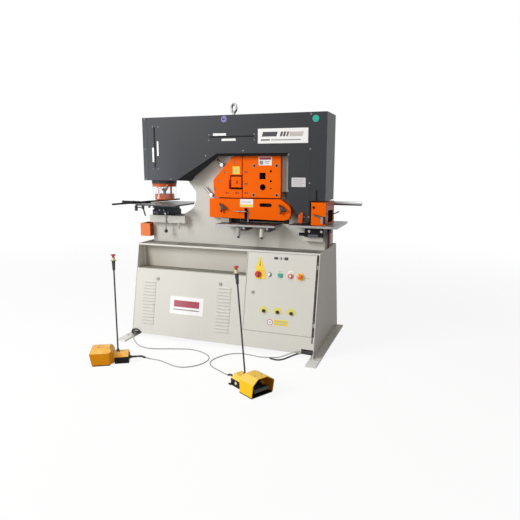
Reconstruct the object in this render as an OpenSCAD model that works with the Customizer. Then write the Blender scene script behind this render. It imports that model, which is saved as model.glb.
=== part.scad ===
// Hydraulic ironworker with punch, angle and bar shear, flat shear and notcher.
// Millimetres. X runs to the right along the machine, Y away from the operator, Z up.
// The origin is the middle of the four anchor holes, on the floor.

/* [Base cabinet] */
// Width over the two side plates
base_w = 1546; // [1400:2:1700]
// Height of the rim of the cabinet
base_h = 766; // [720:1:840]
// Depth of the side plates at the rim
base_top_d = 572; // [540:2:620]
// Depth of the side plates at the foot plates
base_foot_d = 882; // [840:2:940]
// How far the cabinet's middle lies behind the frame's middle
base_y = 18; // [0:1:30]
// Thickness of the side plates
side_t = 6; // [4:1:10]
// Thickness of the foot plates
foot_t = 12; // [8:1:20]
// Width of a foot plate
foot_w = 80; // [76:1:110]
// How far a foot plate stands out past its side plate
foot_out = 54; // [48:1:56]
// How far the foot plates run past the side plates in front
foot_front = 134; // [100:1:160]
// Radius of an anchor hole
anchor_r = 9; // [6:0.5:11]
// Distance between anchor holes along X
anchor_dx = 1594; // [1586:1:1600]
// Distance between anchor holes along Y
anchor_dy = 860; // [800:2:870]
// Thickness of folded sheet
sheet_t = 4; // [3:0.5:5]
// Depth of the tray in the top of the cabinet
tray_d = 10; // [6:1:14]
// Right end of the hydraulic bay, where the electrical bay starts
bay_x = 206; // [190:1:225]
// Height of the floor of the open shelf
shelf_z = 569; // [550:1:600]
// Distance of the back of the shelf from the frame's middle
shelf_back = 200; // [180:1:220]
// Height of the lower edge of the cabinet's front
skirt_z = 40; // [34:1:44]

/* [Louvred panel] */
// Number of louvres in a column
louvre_n = 14; // [8:1:15]
// Pitch of the louvres
louvre_pitch = 26; // [22:0.5:27]
// Length of a louvre
louvre_w = 112; // [80:2:130]
// Height of a pressed hood
louvre_rise = 6; // [4:0.5:8]

/* [Electrical door] */
// Width of the door
door_w = 538; // [500:1:540]
// Height of the door's lower edge
door_z = 165; // [150:1:190]
// Depth of the door's folded edge
door_fold = 20; // [14:1:22]
// Radius of the door's hinge pins
hinge_r = 4; // [3:0.5:5]
// Radius of a push button's cap
button_r = 13; // [11:0.5:14]
// Radius of an emergency-stop cap
estop_r = 19; // [16:0.5:22]
// Radius of the main switch knob
main_knob_r = 24; // [20:1:28]
// Height of the row of push buttons
button_row_z = 590; // [560:1:610]
// Height of the row of selector knobs
selector_row_z = 319; // [290:1:350]

/* [Frame] */
// Thickness of each frame plate
plate_t = 30; // [26:1:34]
// Width of the gap between the plates
plate_gap = 50; // [46:1:54]
// Distance of the frame's left end from the middle
frame_left = 757; // [750:1:762]
// Height of the top of the frame
frame_top = 1750; // [1735:1:1760]
// Height of the bolster that carries the die holder
bolster_z = 985; // [975:1:990]
// Height of the bolster block
bolster_h = 60; // [50:1:70]
// Width of the bolster across the frame
bolster_d = 220; // [200:2:230]
// Position of the throat's inner wall
throat_x = -340; // [-350:1:-330]

/* [Cover] */
// Width over the cover
cover_w = 1544; // [1530:2:1560]
// Depth over the cover
cover_d = 294; // [284:2:300]
// Height of the cover's top
cover_top = 1782; // [1770:1:1800]
// Thickness of the cover sheets
cover_t = 3; // [2:0.5:4]
// Height of the lower edge over the punch
cover_head_z = 1278; // [1272:1:1282]
// Height of the lower edge over the shears
cover_mid_z = 1492; // [1480:1:1500]
// Height of the lower edge over the notcher
cover_notch_z = 1140; // [1136:1:1150]

/* [Punch] */
// Position of the punch along the machine
punch_x = -668; // [-672:1:-664]
// Stroke of the punch
punch_stroke = 80; // [60:1:80]
// Width of the punch cylinder block
cyl_w = 180; // [170:1:184]
// Radius of the piston
piston_r = 55; // [50:1:60]
// Radius of the ram
ram_r = 40; // [34:1:42]
// Running clearance of slides and pins
run_gap = 0.05; // [0.02:0.01:0.09]
// Radius of the guard tube
guard_r = 102; // [96:1:104]
// Radius of the punch
tool_r = 13; // [8:0.5:15]
// Radius of the stripper ring
stripper_r = 82; // [76:1:88]
// Height of the punch table
table_z = 1085; // [1080:1:1090]
// Thickness of the punch table
table_t = 12; // [8:1:14]
// Radius of the slug bore in the die
die_bore = 15; // [13.5:0.5:18]
// Outer radius of the die
die_r = 32; // [26:1:36]
// Distance of the fence's arm in front of the punch
fence_front = 95; // [90:1:105]
// Width of the fence's arm
fence_arm_w = 40; // [30:1:44]
// Turn of the fence away from square
fence_angle = 10; // [0:1:12]
// Length of the fence
fence_l = 820; // [600:10:840]

/* [Shears] */
// Position of the main pin along the machine
pin_x = -250; // [-255:1:-245]
// Height of the main pin
pin_z = 1075; // [1070:1:1080]
// Radius of the main pin
pin_r = 34; // [28:1:38]
// Thickness of the shear beam
beam_t = 46; // [40:1:48]
// Depth of the bar plate
bar_plate_t = 45; // [36:1:50]
// Depth of the angle plate
angle_plate_t = 40; // [32:1:44]
// Side of the square bar hole
square_hole = 50; // [40:1:56]
// Radius of the large round bar hole
round_hole = 24; // [18:0.5:26]
// Height of the shear table
shear_table_z = 950; // [944:1:952]
// Thickness of the shear table
shear_table_t = 14; // [10:1:16]

/* [Notcher] */
// Height of the notching table
notch_z = 962; // [956:1:966]
// Thickness of the notching table
notch_t = 16; // [12:1:18]
// Radius of the stop bar
stop_bar_r = 17; // [12:0.5:19]
// Height of the stop bar
stop_bar_z = 1107; // [1100:1:1112]
// Distance of the stop bar behind the frame's middle
stop_bar_y = 172; // [170:1:180]

/* [Foot controls] */
// Length of a foot control
pedal_l = 264; // [250:1:290]
// Width of a foot control's hood
pedal_w = 170; // [150:1:180]
// Height of a foot control's hood
pedal_h = 120; // [112:1:130]
// Height of the widest part of a hood
hood_mid_z = 92; // [80:1:100]
// Height of a foot control's body, behind the hood
pedal_body_h = 73; // [66:1:78]
// Length of a foot control's hood
hood_l = 135; // [120:1:145]
// Height of the grip's lower end
grip_z = 668; // [600:1:680]
// Radius of a control cable
cable_r = 4; // [3:0.5:5]
// Lean of the right control's rod
right_rod_lean = 4.7; // [0:0.1:5]

/* [Hidden] */
$fn = 40;

seat_gap = 0.3;
side_x = base_w / 2;
inner_x = side_x - side_t;
slope = (base_foot_d - base_top_d) / 2 / (base_h - foot_t);
lean = atan(slope);
tray_z = base_h - tray_d;
frame_y = plate_gap / 2 + plate_t;
gap_y = plate_gap / 2;
cover_x = cover_w / 2;
cover_y = cover_d / 2;
beam_y = beam_t / 2;
light_grey = [0.83, 0.83, 0.79];
anthracite = [0.24, 0.25, 0.27];
orange = [1, 0.42, 0.06];
steel = [0.62, 0.62, 0.63];
black = [0.08, 0.08, 0.09];
yellow = [0.96, 0.66, 0.08];
red = [0.85, 0.12, 0.08];

// Front and back faces of the cabinet at height z
function front_y(z) = base_y - base_top_d / 2 - (base_h - z) * slope;
function back_y(z) = base_y + base_top_d / 2 + (base_h - z) * slope;
function along(z0, z1) = (z1 - z0) / cos(lean);

// A profile in X and Z, drawn out along Y
module xz_plate(y0, y1) {
    translate([0, y1, 0]) rotate([90, 0, 0]) linear_extrude(y1 - y0) children();
}
// A profile in Y and Z, drawn out along X
module yz_plate(x0, x1) {
    translate([x0, 0, 0]) rotate([90, 0, 90]) linear_extrude(x1 - x0) children();
}
// A cylinder along Y, from y0 to y1
module y_rod(x, z, y0, y1, r) {
    translate([x, y1, z]) rotate([90, 0, 0]) cylinder(h = y1 - y0, r = r);
}
// A cylinder along X, from x0 to x1
module x_rod(y, z, x0, x1, r) {
    translate([x0, y, z]) rotate([0, 90, 0]) cylinder(h = x1 - x0, r = r);
}
// Work on the sloping front: X across, Y up the slope, Z out of the face
module on_front(x, z) {
    translate([x, front_y(z), z]) rotate([90 - lean, 0, 0]) children();
}
// A flat sheet on the sloping front, its outer face at the given depth
module front_sheet(x0, x1, z0, z1, t, depth = 0) {
    on_front(0, z0) translate([x0, 0, -depth - t]) cube([x1 - x0, along(z0, z1), t]);
}
module block(lo, hi) {
    translate(lo) cube(hi - lo);
}

// ---- Base cabinet ----
module foot_plate(side) {
    outer = side_x + foot_out;
    y0 = front_y(foot_t) - foot_front;
    difference() {
        block([side * outer - (side > 0 ? foot_w : 0), y0, 0],
              [side * outer + (side > 0 ? 0 : foot_w), back_y(foot_t), foot_t]);
        for (y = [-1, 1])
            translate([side * anchor_dx / 2, y * anchor_dy / 2, -1]) cylinder(h = foot_t + 2, r = anchor_r);
    }
}
module side_plate(side) {
    x0 = side > 0 ? inner_x : -side_x;
    yz_plate(x0, x0 + side_t)
        polygon([[front_y(foot_t), foot_t], [back_y(foot_t), foot_t],
                 [back_y(base_h), base_h], [front_y(base_h), base_h]]);
}
hinge_x = side_x - 14;
hinge_w = 6;
door_x0 = bay_x + 6;
door_x1 = door_x0 + door_w;
door_top = tray_z - sheet_t - 2;
hinge_zs = [door_z + 70, door_top - 100];
module tray_top() {
    x = inner_x + side_t / 2;
    block([-x, front_y(tray_z) + 3, tray_z - sheet_t], [x, back_y(base_h) - 1, tray_z]);
    front_sheet(-x, x, tray_z - sheet_t, base_h, sheet_t);
    block([-x, back_y(base_h) - sheet_t, tray_z - sheet_t], [x, back_y(base_h), base_h]);
}
module shelf_box() {
    block([-inner_x, front_y(shelf_z) + 1, shelf_z - sheet_t], [bay_x, -shelf_back, shelf_z]);
    block([-inner_x, -shelf_back, shelf_z - sheet_t], [bay_x, -shelf_back + sheet_t, tray_z - sheet_t]);
}
module bay_wall() {
    yz_plate(bay_x - 3, bay_x + 3)
        polygon([[front_y(skirt_z), skirt_z], [back_y(skirt_z), skirt_z],
                 [back_y(tray_z), tray_z - 1], [front_y(tray_z), tray_z - 1]]);
}
module rear_wall() {
    difference() {
        yz_plate(-inner_x, inner_x)
            polygon([[back_y(skirt_z) - sheet_t, skirt_z], [back_y(skirt_z), skirt_z],
                     [back_y(tray_z), tray_z - 1], [back_y(tray_z) - sheet_t, tray_z - 1]]);
        for (k = [0:9], x = [-560, -180])
            block([x, back_y(500) - 60, 250 + k * 28], [x + 160, back_y(250) + 60, 258 + k * 28]);
    }
}
valve_x = 560;
valve_y = 152;
module valve_box() {
    difference() {
        block([valve_x, valve_y, tray_z], [frame_left, valve_y + 93, bolster_z]);
        block([valve_x + 3, valve_y + 3, tray_z - 1], [frame_left - 3, valve_y + 90, bolster_z - 3]);
    }
}
module door_hinge_seat(z) {
    on_front(hinge_x, z) translate([0, 0, -hinge_w]) {
        rotate([-90, 0, 0]) cylinder(h = 56, r = hinge_r);
        rotate([-90, 0, 0]) cylinder(h = 28, r = 7);
        translate([0, 0, -19]) cube([8, 28, 15]);
    }
}
module base_cabinet() color(light_grey) {
    for (side = [-1, 1]) {
        foot_plate(side);
        side_plate(side);
    }
    tray_top();
    shelf_box();
    bay_wall();
    rear_wall();
    block([-inner_x, front_y(skirt_z) + 24, skirt_z + 4], [inner_x, back_y(skirt_z) - 2, skirt_z + 8]);
    difference() {
        front_sheet(bay_x, inner_x, skirt_z, door_z - 2, sheet_t);
        on_front(680, skirt_z - 2) translate([0, 0, -9]) cube([inner_x - 679, 36, 18]);
    }
    front_sheet(-inner_x, bay_x, skirt_z + 24, skirt_z + 50, sheet_t, sheet_t);
    front_sheet(-inner_x, bay_x, shelf_z - 26, shelf_z - 1, sheet_t, sheet_t);
    front_sheet(inner_x - 24, inner_x + 1, skirt_z + 30, tray_z - 3, sheet_t, door_fold + 4);
    front_sheet(bay_x + 3 + seat_gap, bay_x + 16, door_z, door_top, sheet_t, door_fold + 4);
    for (z = hinge_zs) door_hinge_seat(z);
    valve_box();
}

// ---- Louvred panel ----
module louvre_hood() {
    rotate([90, 0, 90]) linear_extrude(louvre_w)
        polygon([[9, -1], [1, louvre_rise], [-4, louvre_rise], [-4, louvre_rise - 1.5],
                 [0.5, louvre_rise - 1.5], [7, -1]]);
}
module front_panel() color(light_grey) {
    top = shelf_z - sheet_t - 2;
    l = along(skirt_z, top);
    on_front(0, skirt_z) {
        difference() {
            translate([-inner_x + 2, 0, -sheet_t]) cube([inner_x + bay_x - 5, l, sheet_t]);
            translate([-inner_x, -1, -9]) cube([86, 12, 18]);
            for (x = [-690, -22], k = [0:louvre_n - 1])
                translate([x, l - 108 - k * louvre_pitch - 4, -9]) cube([louvre_w, 10, 18]);
        }
        for (x = [-690, -22], k = [0:louvre_n - 1])
            translate([x, l - 108 - k * louvre_pitch, 0]) louvre_hood();
        for (x = [-564, -4]) translate([x, l - 74, 0]) quarter_turn_lock();
    }
}
module quarter_turn_lock() {
    difference() {
        cylinder(h = 5, r = 12);
        translate([-1.5, -7, 3]) cube([3, 14, 5]);
    }
}

// ---- Inside the cabinet ----
module power_pack() color([0.45, 0.47, 0.5]) {
    floor_z = skirt_z + 8;
    difference() {
        block([-640, -140, floor_z], [-160, 230, floor_z + 240]);
        block([-634, -134, floor_z + 4], [-166, 224, floor_z + 234]);
    }
    x_rod(40, floor_z + 350, -600, -340, 88);
    for (k = [0:8]) x_rod(40, floor_z + 350, -590 + k * 26, -582 + k * 26, 94);
    x_rod(40, floor_z + 350, -640, -600, 84);
    x_rod(40, floor_z + 350, -340, -290, 62);
    block([-290, 0, floor_z + 300], [-210, 80, floor_z + 400]);
    block([-560, -20, floor_z + 240], [-380, 100, floor_z + 290]);
    translate([-200, 160, floor_z + 240]) cylinder(h = 60, r = 24);
}
module component_plate() color([0.75, 0.76, 0.74]) {
    block([bay_x + 3, 150, 120], [inner_x, 153, 700]);
    for (z = [200, 380, 560]) block([bay_x + 40, 143, z], [inner_x - 40, 150, z + 35]);
    for (k = [0:5]) block([bay_x + 60 + k * 72, 70, 545], [bay_x + 114 + k * 72, 143, 628]);
    for (k = [0:4]) block([bay_x + 60 + k * 84, 82, 368], [bay_x + 130 + k * 84, 143, 452]);
    block([bay_x + 90, 60, 190], [bay_x + 330, 143, 262]);
}

// ---- Door and its controls ----
main_x = 304;
button_xs = [393, 478, 559];
estop_x = 634;
selector_xs = [368, 477, 584];
lock_x = 271;
lock_z = 450;
module door_sleeve(z) {
    on_front(hinge_x, z) translate([0, 28.4, -hinge_w]) difference() {
        union() {
            rotate([-90, 0, 0]) cylinder(h = 28, r = 7);
            translate([door_x1 - 3 - hinge_x, 0, 2]) cube([hinge_x - door_x1, 28, 4]);
        }
        rotate([-90, 0, 0]) translate([0, 0, -1]) cylinder(h = 30, r = hinge_r + run_gap);
    }
}
// A round boss on the row of push buttons, rooted in the sheet
module boss(x, h, r) {
    on_front(x, button_row_z) translate([0, 0, -1]) cylinder(h = h + 1, r = r);
}
module door_hole(x, z, r) {
    on_front(x, z) translate([0, 0, -9]) cylinder(h = 40, r = r);
}
module door() color(light_grey) {
    l = along(door_z, door_top);
    difference() {
        union() {
            on_front(0, door_z) difference() {
                translate([door_x0, 0, -door_fold]) cube([door_w, l, door_fold]);
                translate([door_x0 + 3, 3, -door_fold - 1]) cube([door_w - 6, l - 6, door_fold - 2]);
            }
            for (x = [button_xs[1], button_xs[2]]) boss(x, 7, button_r + 2.5);
            boss(button_xs[0], 5, button_r + 2.5);
            boss(button_xs[0], 9, button_r);
            boss(estop_x, 9, 16);
        }
        for (x = [button_xs[1], button_xs[2]]) {
            door_hole(x, button_row_z, 8 + run_gap);
            on_front(x, button_row_z) cylinder(h = 9, r = button_r + run_gap);
        }
        door_hole(estop_x, button_row_z, 11 + run_gap);
        door_hole(main_x, button_row_z - 4, 5 + run_gap);
        for (x = selector_xs) door_hole(x, selector_row_z, 5 + run_gap);
        door_hole(lock_x, lock_z, 5 + run_gap);
    }
    for (z = hinge_zs) door_sleeve(z);
}
module door_lock() color(steel) on_front(lock_x, lock_z) {
    difference() {
        translate([0, 0, seat_gap]) cylinder(h = 5, r = 12);
        translate([-1.5, -7, 3]) cube([3, 14, 5]);
    }
    translate([0, 0, -36]) cylinder(h = 37, r = 5);
    translate([-8, -8, -36]) cube([16, 62, 4]);
}
module main_switch() color(red) on_front(main_x, button_row_z - 4) {
    translate([0, 0, seat_gap]) cylinder(h = 12, r = main_knob_r);
    translate([-6, -main_knob_r + 1, 12]) cube([12, 2 * main_knob_r - 2, 14]);
    translate([0, 0, -14]) cylinder(h = 15, r = 5);
}
module push_button(x, tint) color(tint) on_front(x, button_row_z) {
    translate([0, 0, 4.5]) cylinder(h = 7.5, r = button_r);
    translate([0, 0, -10]) cylinder(h = 15, r = 8);
    translate([0, 0, -13]) cylinder(h = 3.5, r = 11);
}
module start_button() push_button(button_xs[1], [0.1, 0.6, 0.45]);
module stop_button() push_button(button_xs[2], red);
module estop_cap() {
    rotate_extrude() polygon([[0, 0], [estop_r - 3, 0], [estop_r, 3], [estop_r, 7],
                              [estop_r - 5, 12], [estop_r - 11, 14], [0, 14.5]]);
}
module door_estop() color(red) on_front(estop_x, button_row_z) {
    translate([0, 0, 16]) estop_cap();
    translate([0, 0, -12]) cylinder(h = 28.5, r = 11);
    translate([0, 0, -15]) cylinder(h = 3.5, r = 13);
}
module selector(x) color(black) on_front(x, selector_row_z) {
    translate([0, 0, seat_gap]) cylinder(h = 9, r = 13);
    translate([-3.5, -12, 9]) cube([7, 24, 9]);
    translate([0, 0, -12]) cylinder(h = 13, r = 5);
}
module selector_left() selector(selector_xs[0]);
module selector_middle() selector(selector_xs[1]);
module selector_right() selector(selector_xs[2]);

// ---- Frame ----
head_x = punch_x + cyl_w / 2;
frame_right = frame_left;
notch_x0 = 640;
// Outline of a frame plate: arm, throat, head and the notcher's gap
module frame_outline() {
    polygon([[-frame_left, tray_z], [-frame_left, bolster_z], [throat_x - 107, bolster_z],
             [throat_x - 107, bolster_z + 17], [throat_x - 78, bolster_z + 33],
             [throat_x - 38, bolster_z + 58],
             [throat_x - 12, bolster_z + 90], [throat_x, bolster_z + 130], [throat_x + 2, 1188],
             [throat_x - 70, cover_head_z + 1], [throat_x - 84, cover_head_z + 12],
             [head_x, cover_head_z + 12], [head_x, frame_top],
             [frame_right - 7, frame_top], [frame_right - 7, cover_notch_z + 20],
             [notch_x0, cover_notch_z + 20],
             [notch_x0, notch_z - notch_t], [frame_right, notch_z - notch_t],
             [frame_right, tray_z]]);
}
// L-shaped way for an angle bar, with its corner at the lower left
angle_x = -25;
angle_z = 1213;
module angle_way() {
    translate([angle_x, angle_z]) square([10, 72]);
    translate([angle_x, angle_z]) square([118, 8]);
}
square_c = [262, 1320];
round_c = [264, 1233];
small_holes = [[330, 1356, 9], [330, 1280, 9], [331, 1226, 6]];
module bar_ways() {
    translate(square_c) square(square_hole, center = true);
    translate(round_c) circle(r = round_hole);
    for (h = small_holes) translate([h[0], h[1]]) circle(r = h[2]);
}
// Windows in the frame plates, behind the ways for bars
module bar_windows() {
    translate([angle_x - 14, angle_z - 14]) square([146, 100]);
    translate([228, 1199]) square([124, 176]);
}
flat_x0 = 50;
flat_x1 = 425;
module flat_way() {
    translate([flat_x0, shear_table_z]) square([flat_x1 - flat_x0, 40]);
}
shear_cyl_x = 540;
shear_cyl_r = 65;
cyl_window_top = 1710;
beam_top_z = 1438;
rod_low_z = beam_top_z - 62;
fill_z = 925;
fill_y = gap_y - seat_gap;
bin_z = base_h + 36;
upper_lever = [-89, 1405];
lower_lever = [-186, 1165];
// Bracket on the back of the frame that guides the stop bar
module stop_bar_bracket() {
    difference() {
        union() {
            block([424, frame_y, stop_bar_z - 12], [474, stop_bar_y, stop_bar_z + 12]);
            x_rod(stop_bar_y, stop_bar_z, 424, 474, stop_bar_r + 9);
        }
        x_rod(stop_bar_y, stop_bar_z, 423, 475, stop_bar_r + run_gap);
    }
}
module frame() color(light_grey) difference() {
    union() {
        for (y = [-frame_y, gap_y]) xz_plate(y, y + plate_t) difference() {
            frame_outline();
            bar_windows();
            flat_way();
            translate([shear_cyl_x - shear_cyl_r - 4, rod_low_z])
                square([2 * shear_cyl_r + 8, cyl_window_top - rod_low_z]);
        }
        // Filler between the plates: foot, arm, throat wall, head and top
        block([-frame_left + 150, -fill_y, tray_z], [frame_right, fill_y, fill_z]);
        block([-frame_left, -fill_y, fill_z], [throat_x + 14, fill_y, bolster_z]);
        block([-frame_left, -fill_y, tray_z], [-frame_left + 150, fill_y, bin_z + 48]);
        block([throat_x + 2, -fill_y, bolster_z - 1], [throat_x + 14, fill_y, 1188]);
        block([head_x, -fill_y, cover_head_z + 12], [head_x + 60, fill_y, frame_top]);
        block([head_x, -fill_y, frame_top - 30], [frame_right - 7, fill_y, frame_top]);
        // Bolsters under the die holder and the notching table
        block([-frame_left, -bolster_d / 2, bolster_z - bolster_h], [throat_x - 78, -frame_y, bolster_z]);
        block([-frame_left, frame_y, bolster_z - bolster_h], [throat_x - 78, bolster_d / 2, bolster_z]);
        for (side = [-1, 1])
            block([596, side > 0 ? frame_y : -120, 832],
                  [frame_right, side > 0 ? 120 : -frame_y, 869]);
        stop_bar_bracket();
    }
    // Slug bore, slug chute and the pin's blind seat
    translate([punch_x, 0, bin_z + 38]) cylinder(h = 200, r = 20);
    y_rod(pin_x, pin_z, -frame_y + 5, frame_y + 1, pin_r + run_gap);
    block([notch_x0 + 34, -gap_y - 8, 830], [frame_right - 11, gap_y + 8, notch_z]);
    // Bores for the clamp levers
    for (p = [upper_lever, lower_lever]) y_rod(p[0], p[1], -frame_y - 1, -frame_y + 20, 8 + run_gap);
}
module main_pin() color(steel) {
    y_rod(pin_x, pin_z, -frame_y + 6, frame_y + 4, pin_r);
    block([pin_x - 45, frame_y + seat_gap, pin_z - 12], [pin_x + 70, frame_y + 10, pin_z + 12]);
}

// ---- Covers ----
seam_l = -cover_x + 45;
seam_r = 655;
eye_x = -16;
module cover_outline(x0, x1, top = cover_top) {
    intersection() {
        polygon([[-cover_x, cover_head_z], [-468, cover_head_z], [-103, cover_mid_z], [482, cover_mid_z],
                 [482, 1145], [591, 982], [seam_r, 982], [seam_r, cover_notch_z], [cover_x, cover_notch_z],
                 [cover_x, cover_top], [-cover_x, cover_top]]);
        translate([x0, 0]) square([x1 - x0, top]);
    }
}
// Ends, top and front flanges in one folded sheet, with the rear panel behind them
module wrap_cover() color(anthracite) {
    y1 = cover_y - cover_t - seat_gap;
    block([-cover_x, -cover_y, cover_head_z], [-cover_x + cover_t, y1, cover_top]);
    block([cover_x - cover_t, -cover_y, cover_notch_z], [cover_x, y1, cover_top]);
    difference() {
        block([-cover_x, -cover_y, cover_top - cover_t], [cover_x, y1, cover_top]);
        translate([eye_x, 0, cover_top - 20]) cylinder(h = 30, r = 17);
    }
    xz_plate(-cover_y, -cover_y + cover_t) cover_outline(-cover_x, seam_l);
    xz_plate(-cover_y, -cover_y + cover_t) cover_outline(seam_r, cover_x);
    xz_plate(cover_y - cover_t, cover_y) cover_outline(-cover_x, cover_x);
    // Spacers that carry the rear panel
    for (z = [cover_head_z + 42, cover_top - 142])
        block([-cover_x + cover_t + seat_gap, 90 + seat_gap, z],
              [-cover_x + 40, cover_y - cover_t + 1, z + 30]);
    for (x = [-300, 300])
        block([x, frame_y + seat_gap, cover_top - 132], [x + 40, cover_y - cover_t + 1, cover_top - 102]);
}
slot_x = -661;
module front_cover() color(anthracite) {
    difference() {
        xz_plate(-cover_y, -cover_y + cover_t)
            cover_outline(seam_l + seat_gap, seam_r - seat_gap, cover_top - cover_t - seat_gap);
        // Slots of the two stroke scales
        block([slot_x - 6, -cover_y - 1, cover_top - 398], [slot_x + 6, -cover_y + 9, cover_top - 78]);
        block([-160, -cover_y - 1, cover_top - 169], [208, -cover_y + 9, cover_top - 158]);
    }
    // Returns of the lower edge, folded in towards the frame
    y1 = -frame_y - seat_gap;
    block([-cover_x + 48, -cover_y + cover_t, cover_head_z], [-468, -cover_y + 30, cover_head_z + cover_t]);
    xz_plate(-cover_y + cover_t, y1)
        polygon([[-470, cover_head_z], [-103, cover_mid_z], [482, cover_mid_z], [482, 1145], [591, 982],
                 [655 - seat_gap, 982], [655 - seat_gap, 985], [592.5, 985], [485, 1146],
                 [485, cover_mid_z + 3],
                 [-104, cover_mid_z + 3], [-471, cover_head_z + 3]]);
}
module lifting_eye() color(steel) translate([eye_x, 0, frame_top]) rotate([0, 0, -32]) {
    cylinder(h = 40, r = 14);
    translate([0, 0, 32]) cylinder(h = 12, r = 22);
    translate([0, 0, 40]) cylinder(h = 24, r = 12);
    translate([0, 0, 96]) rotate([90, 0, 0]) rotate_extrude() translate([32, 0]) circle(r = 10);
}

// ---- Punch ----
cyl_bottom = cover_head_z - seat_gap;
cyl_top = 1700;
module punch_cylinder() color(light_grey) difference() {
    union() {
        block([punch_x - cyl_w / 2, -90, cyl_bottom], [punch_x + cyl_w / 2, 90, cyl_top]);
        translate([punch_x, 0, cyl_top]) cylinder(h = 24, r = 70);
    }
    translate([punch_x, 0, cyl_bottom + 60]) cylinder(h = 320, r = piston_r);
    translate([punch_x, 0, cyl_bottom - 1]) cylinder(h = 80, r = ram_r + run_gap);
}
coupling_z = 1240;
module punch_ram() color(steel) {
    translate([punch_x, 0, coupling_z]) cylinder(h = 340, r = ram_r);
    translate([punch_x, 0, coupling_z + 320]) cylinder(h = 44, r = piston_r - run_gap);
    translate([punch_x, 0, coupling_z - 32]) cylinder(h = 33, r = 38);
    translate([punch_x, 0, coupling_z - 54]) cylinder(h = 22, r1 = tool_r + 4, r2 = 34);
}
tip_z = table_z + punch_stroke - 5;
module punch() color([0.35, 0.35, 0.37]) {
    translate([punch_x, 0, tip_z + 12]) cylinder(h = coupling_z - 54 - tip_z - 12, r = tool_r);
    translate([punch_x, 0, tip_z]) cylinder(h = 12, r = tool_r - 2);
}
flange_z = 1224;
module ram_housing() color([0.2, 0.2, 0.22]) difference() {
    translate([punch_x, 0, flange_z + 26]) cylinder(h = cyl_bottom - flange_z - 26, r = guard_r + 4);
    translate([punch_x, 0, flange_z]) cylinder(h = 100, r = ram_r + 2);
}
module guard_flange() color(orange) difference() {
    translate([punch_x, 0, flange_z]) cylinder(h = 26, r = guard_r);
    translate([punch_x, 0, flange_z - 1]) cylinder(h = 30, r = ram_r + 2);
}
module punch_guard() color([0.8, 0.86, 0.9, 0.35]) difference() {
    translate([punch_x, 0, table_z + 38]) cylinder(h = flange_z - table_z - 38, r = guard_r);
    translate([punch_x, 0, table_z]) cylinder(h = 300, r = guard_r - 4);
}
stripper_z = table_z + 28;
stripper_top = 1160;
module stripper() color(orange) {
    difference() {
        translate([punch_x, 0, stripper_z]) cylinder(h = stripper_top - stripper_z, r = stripper_r);
        translate([punch_x, 0, stripper_z + 8]) cylinder(h = 80, r = ram_r + 3);
        translate([punch_x, 0, stripper_z - 1]) cylinder(h = 20, r = 30);
    }
    for (a = [0, 180]) translate([punch_x, 0, 0]) rotate([0, 0, a])
        translate([62, 0, stripper_top]) cylinder(h = flange_z - stripper_top, r = 8);
}
module table_outline() {
    polygon([[-800, -252], [-420, -252], [-420, 60], [-500, 230], [-800, 230]]);
}
module punch_table() color([0.55, 0.56, 0.58]) {
    difference() {
        translate([0, 0, table_z - table_t]) linear_extrude(table_t) table_outline();
        translate([punch_x, 0, table_z - table_t - 1]) cylinder(h = table_t + 2, r = die_r + 14);
        for (x = [-760, -470]) translate([x, -170, table_z - table_t - 1]) cylinder(h = table_t + 2, r = 6);
    }
    block([-1028, -fence_front - fence_arm_w / 2, table_z - table_t],
          [-799, -fence_front + fence_arm_w / 2, table_z]);
    for (x = [-675, -633]) y_rod(x, table_z - 20, -246, -228, 7);
    for (x = [-675, -633]) block([x - 5, -246, table_z - 28], [x + 5, -230, table_z - table_t]);
}
module die_holder() color([0.16, 0.19, 0.24]) {
    difference() {
        union() {
            block([-738, -90, bolster_z], [-562, 90, bolster_z + 46]);
            block([-728, -84, bolster_z + 46], [-572, 84, table_z - table_t]);
        }
        translate([punch_x, 0, bolster_z - 1]) cylinder(h = 200, r = 20);
        translate([punch_x, 0, table_z - 44]) cylinder(h = 100, r = die_r);
        y_rod(-596, bolster_z + 16, -91, -60, 6 + run_gap);
    }
    for (x = [-665, -626]) y_rod(x, bolster_z + 44, -96, -90, 9);
}
module die() color(steel) difference() {
    translate([punch_x, 0, table_z - 44]) cylinder(h = 44, r = die_r);
    translate([punch_x, 0, table_z - 45]) cylinder(h = 46, r = die_bore);
}
module die_clamp_lever() color(steel) {
    y_rod(-596, bolster_z + 16, -124, -62, 6);
    translate([-596, -118, bolster_z - 120]) cylinder(h = 136, r = 4.5);
    translate([-596, -118, bolster_z - 130]) sphere(r = 15);
}
slider_x = -830;
slider_d = fence_arm_w / 2 + 6;
slider_z = table_z + seat_gap;
module fence_bar() color([0.2, 0.2, 0.21]) {
    translate([-772, -fence_front, slider_z + 6]) rotate([0, 0, -fence_angle])
        translate([-7, -fence_l / 2, 0]) cube([14, fence_l, 13]);
    difference() {
        union() {
            block([slider_x - 22, -fence_front - slider_d, slider_z],
                  [-764, -fence_front + slider_d, slider_z + 6]);
            block([slider_x - 22, -fence_front - slider_d, table_z - table_t - 12],
                  [slider_x + 22, -fence_front + slider_d, slider_z + 1]);
        }
        block([slider_x - 23, -fence_front - fence_arm_w / 2 - seat_gap, table_z - table_t - seat_gap],
              [slider_x + 23, -fence_front + fence_arm_w / 2 + seat_gap, slider_z]);
        translate([slider_x, -fence_front, table_z - table_t - 30]) cylinder(h = 29.5, r = 6 + run_gap);
    }
}
module fence_lever() color(black) translate([slider_x, -fence_front, table_z - table_t]) {
    translate([0, 0, -16]) cylinder(h = 15, r = 6);
    translate([0, 0, -40]) cylinder(h = 27, r = 12);
    translate([0, 0, -30]) rotate([0, 162, 0]) cylinder(h = 72, r = 6);
    translate([0, 0, -28]) rotate([0, -90, 0]) cylinder(h = 70, r = 5);
    translate([-68, 0, -58]) cylinder(h = 44, r = 13);
}
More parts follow.
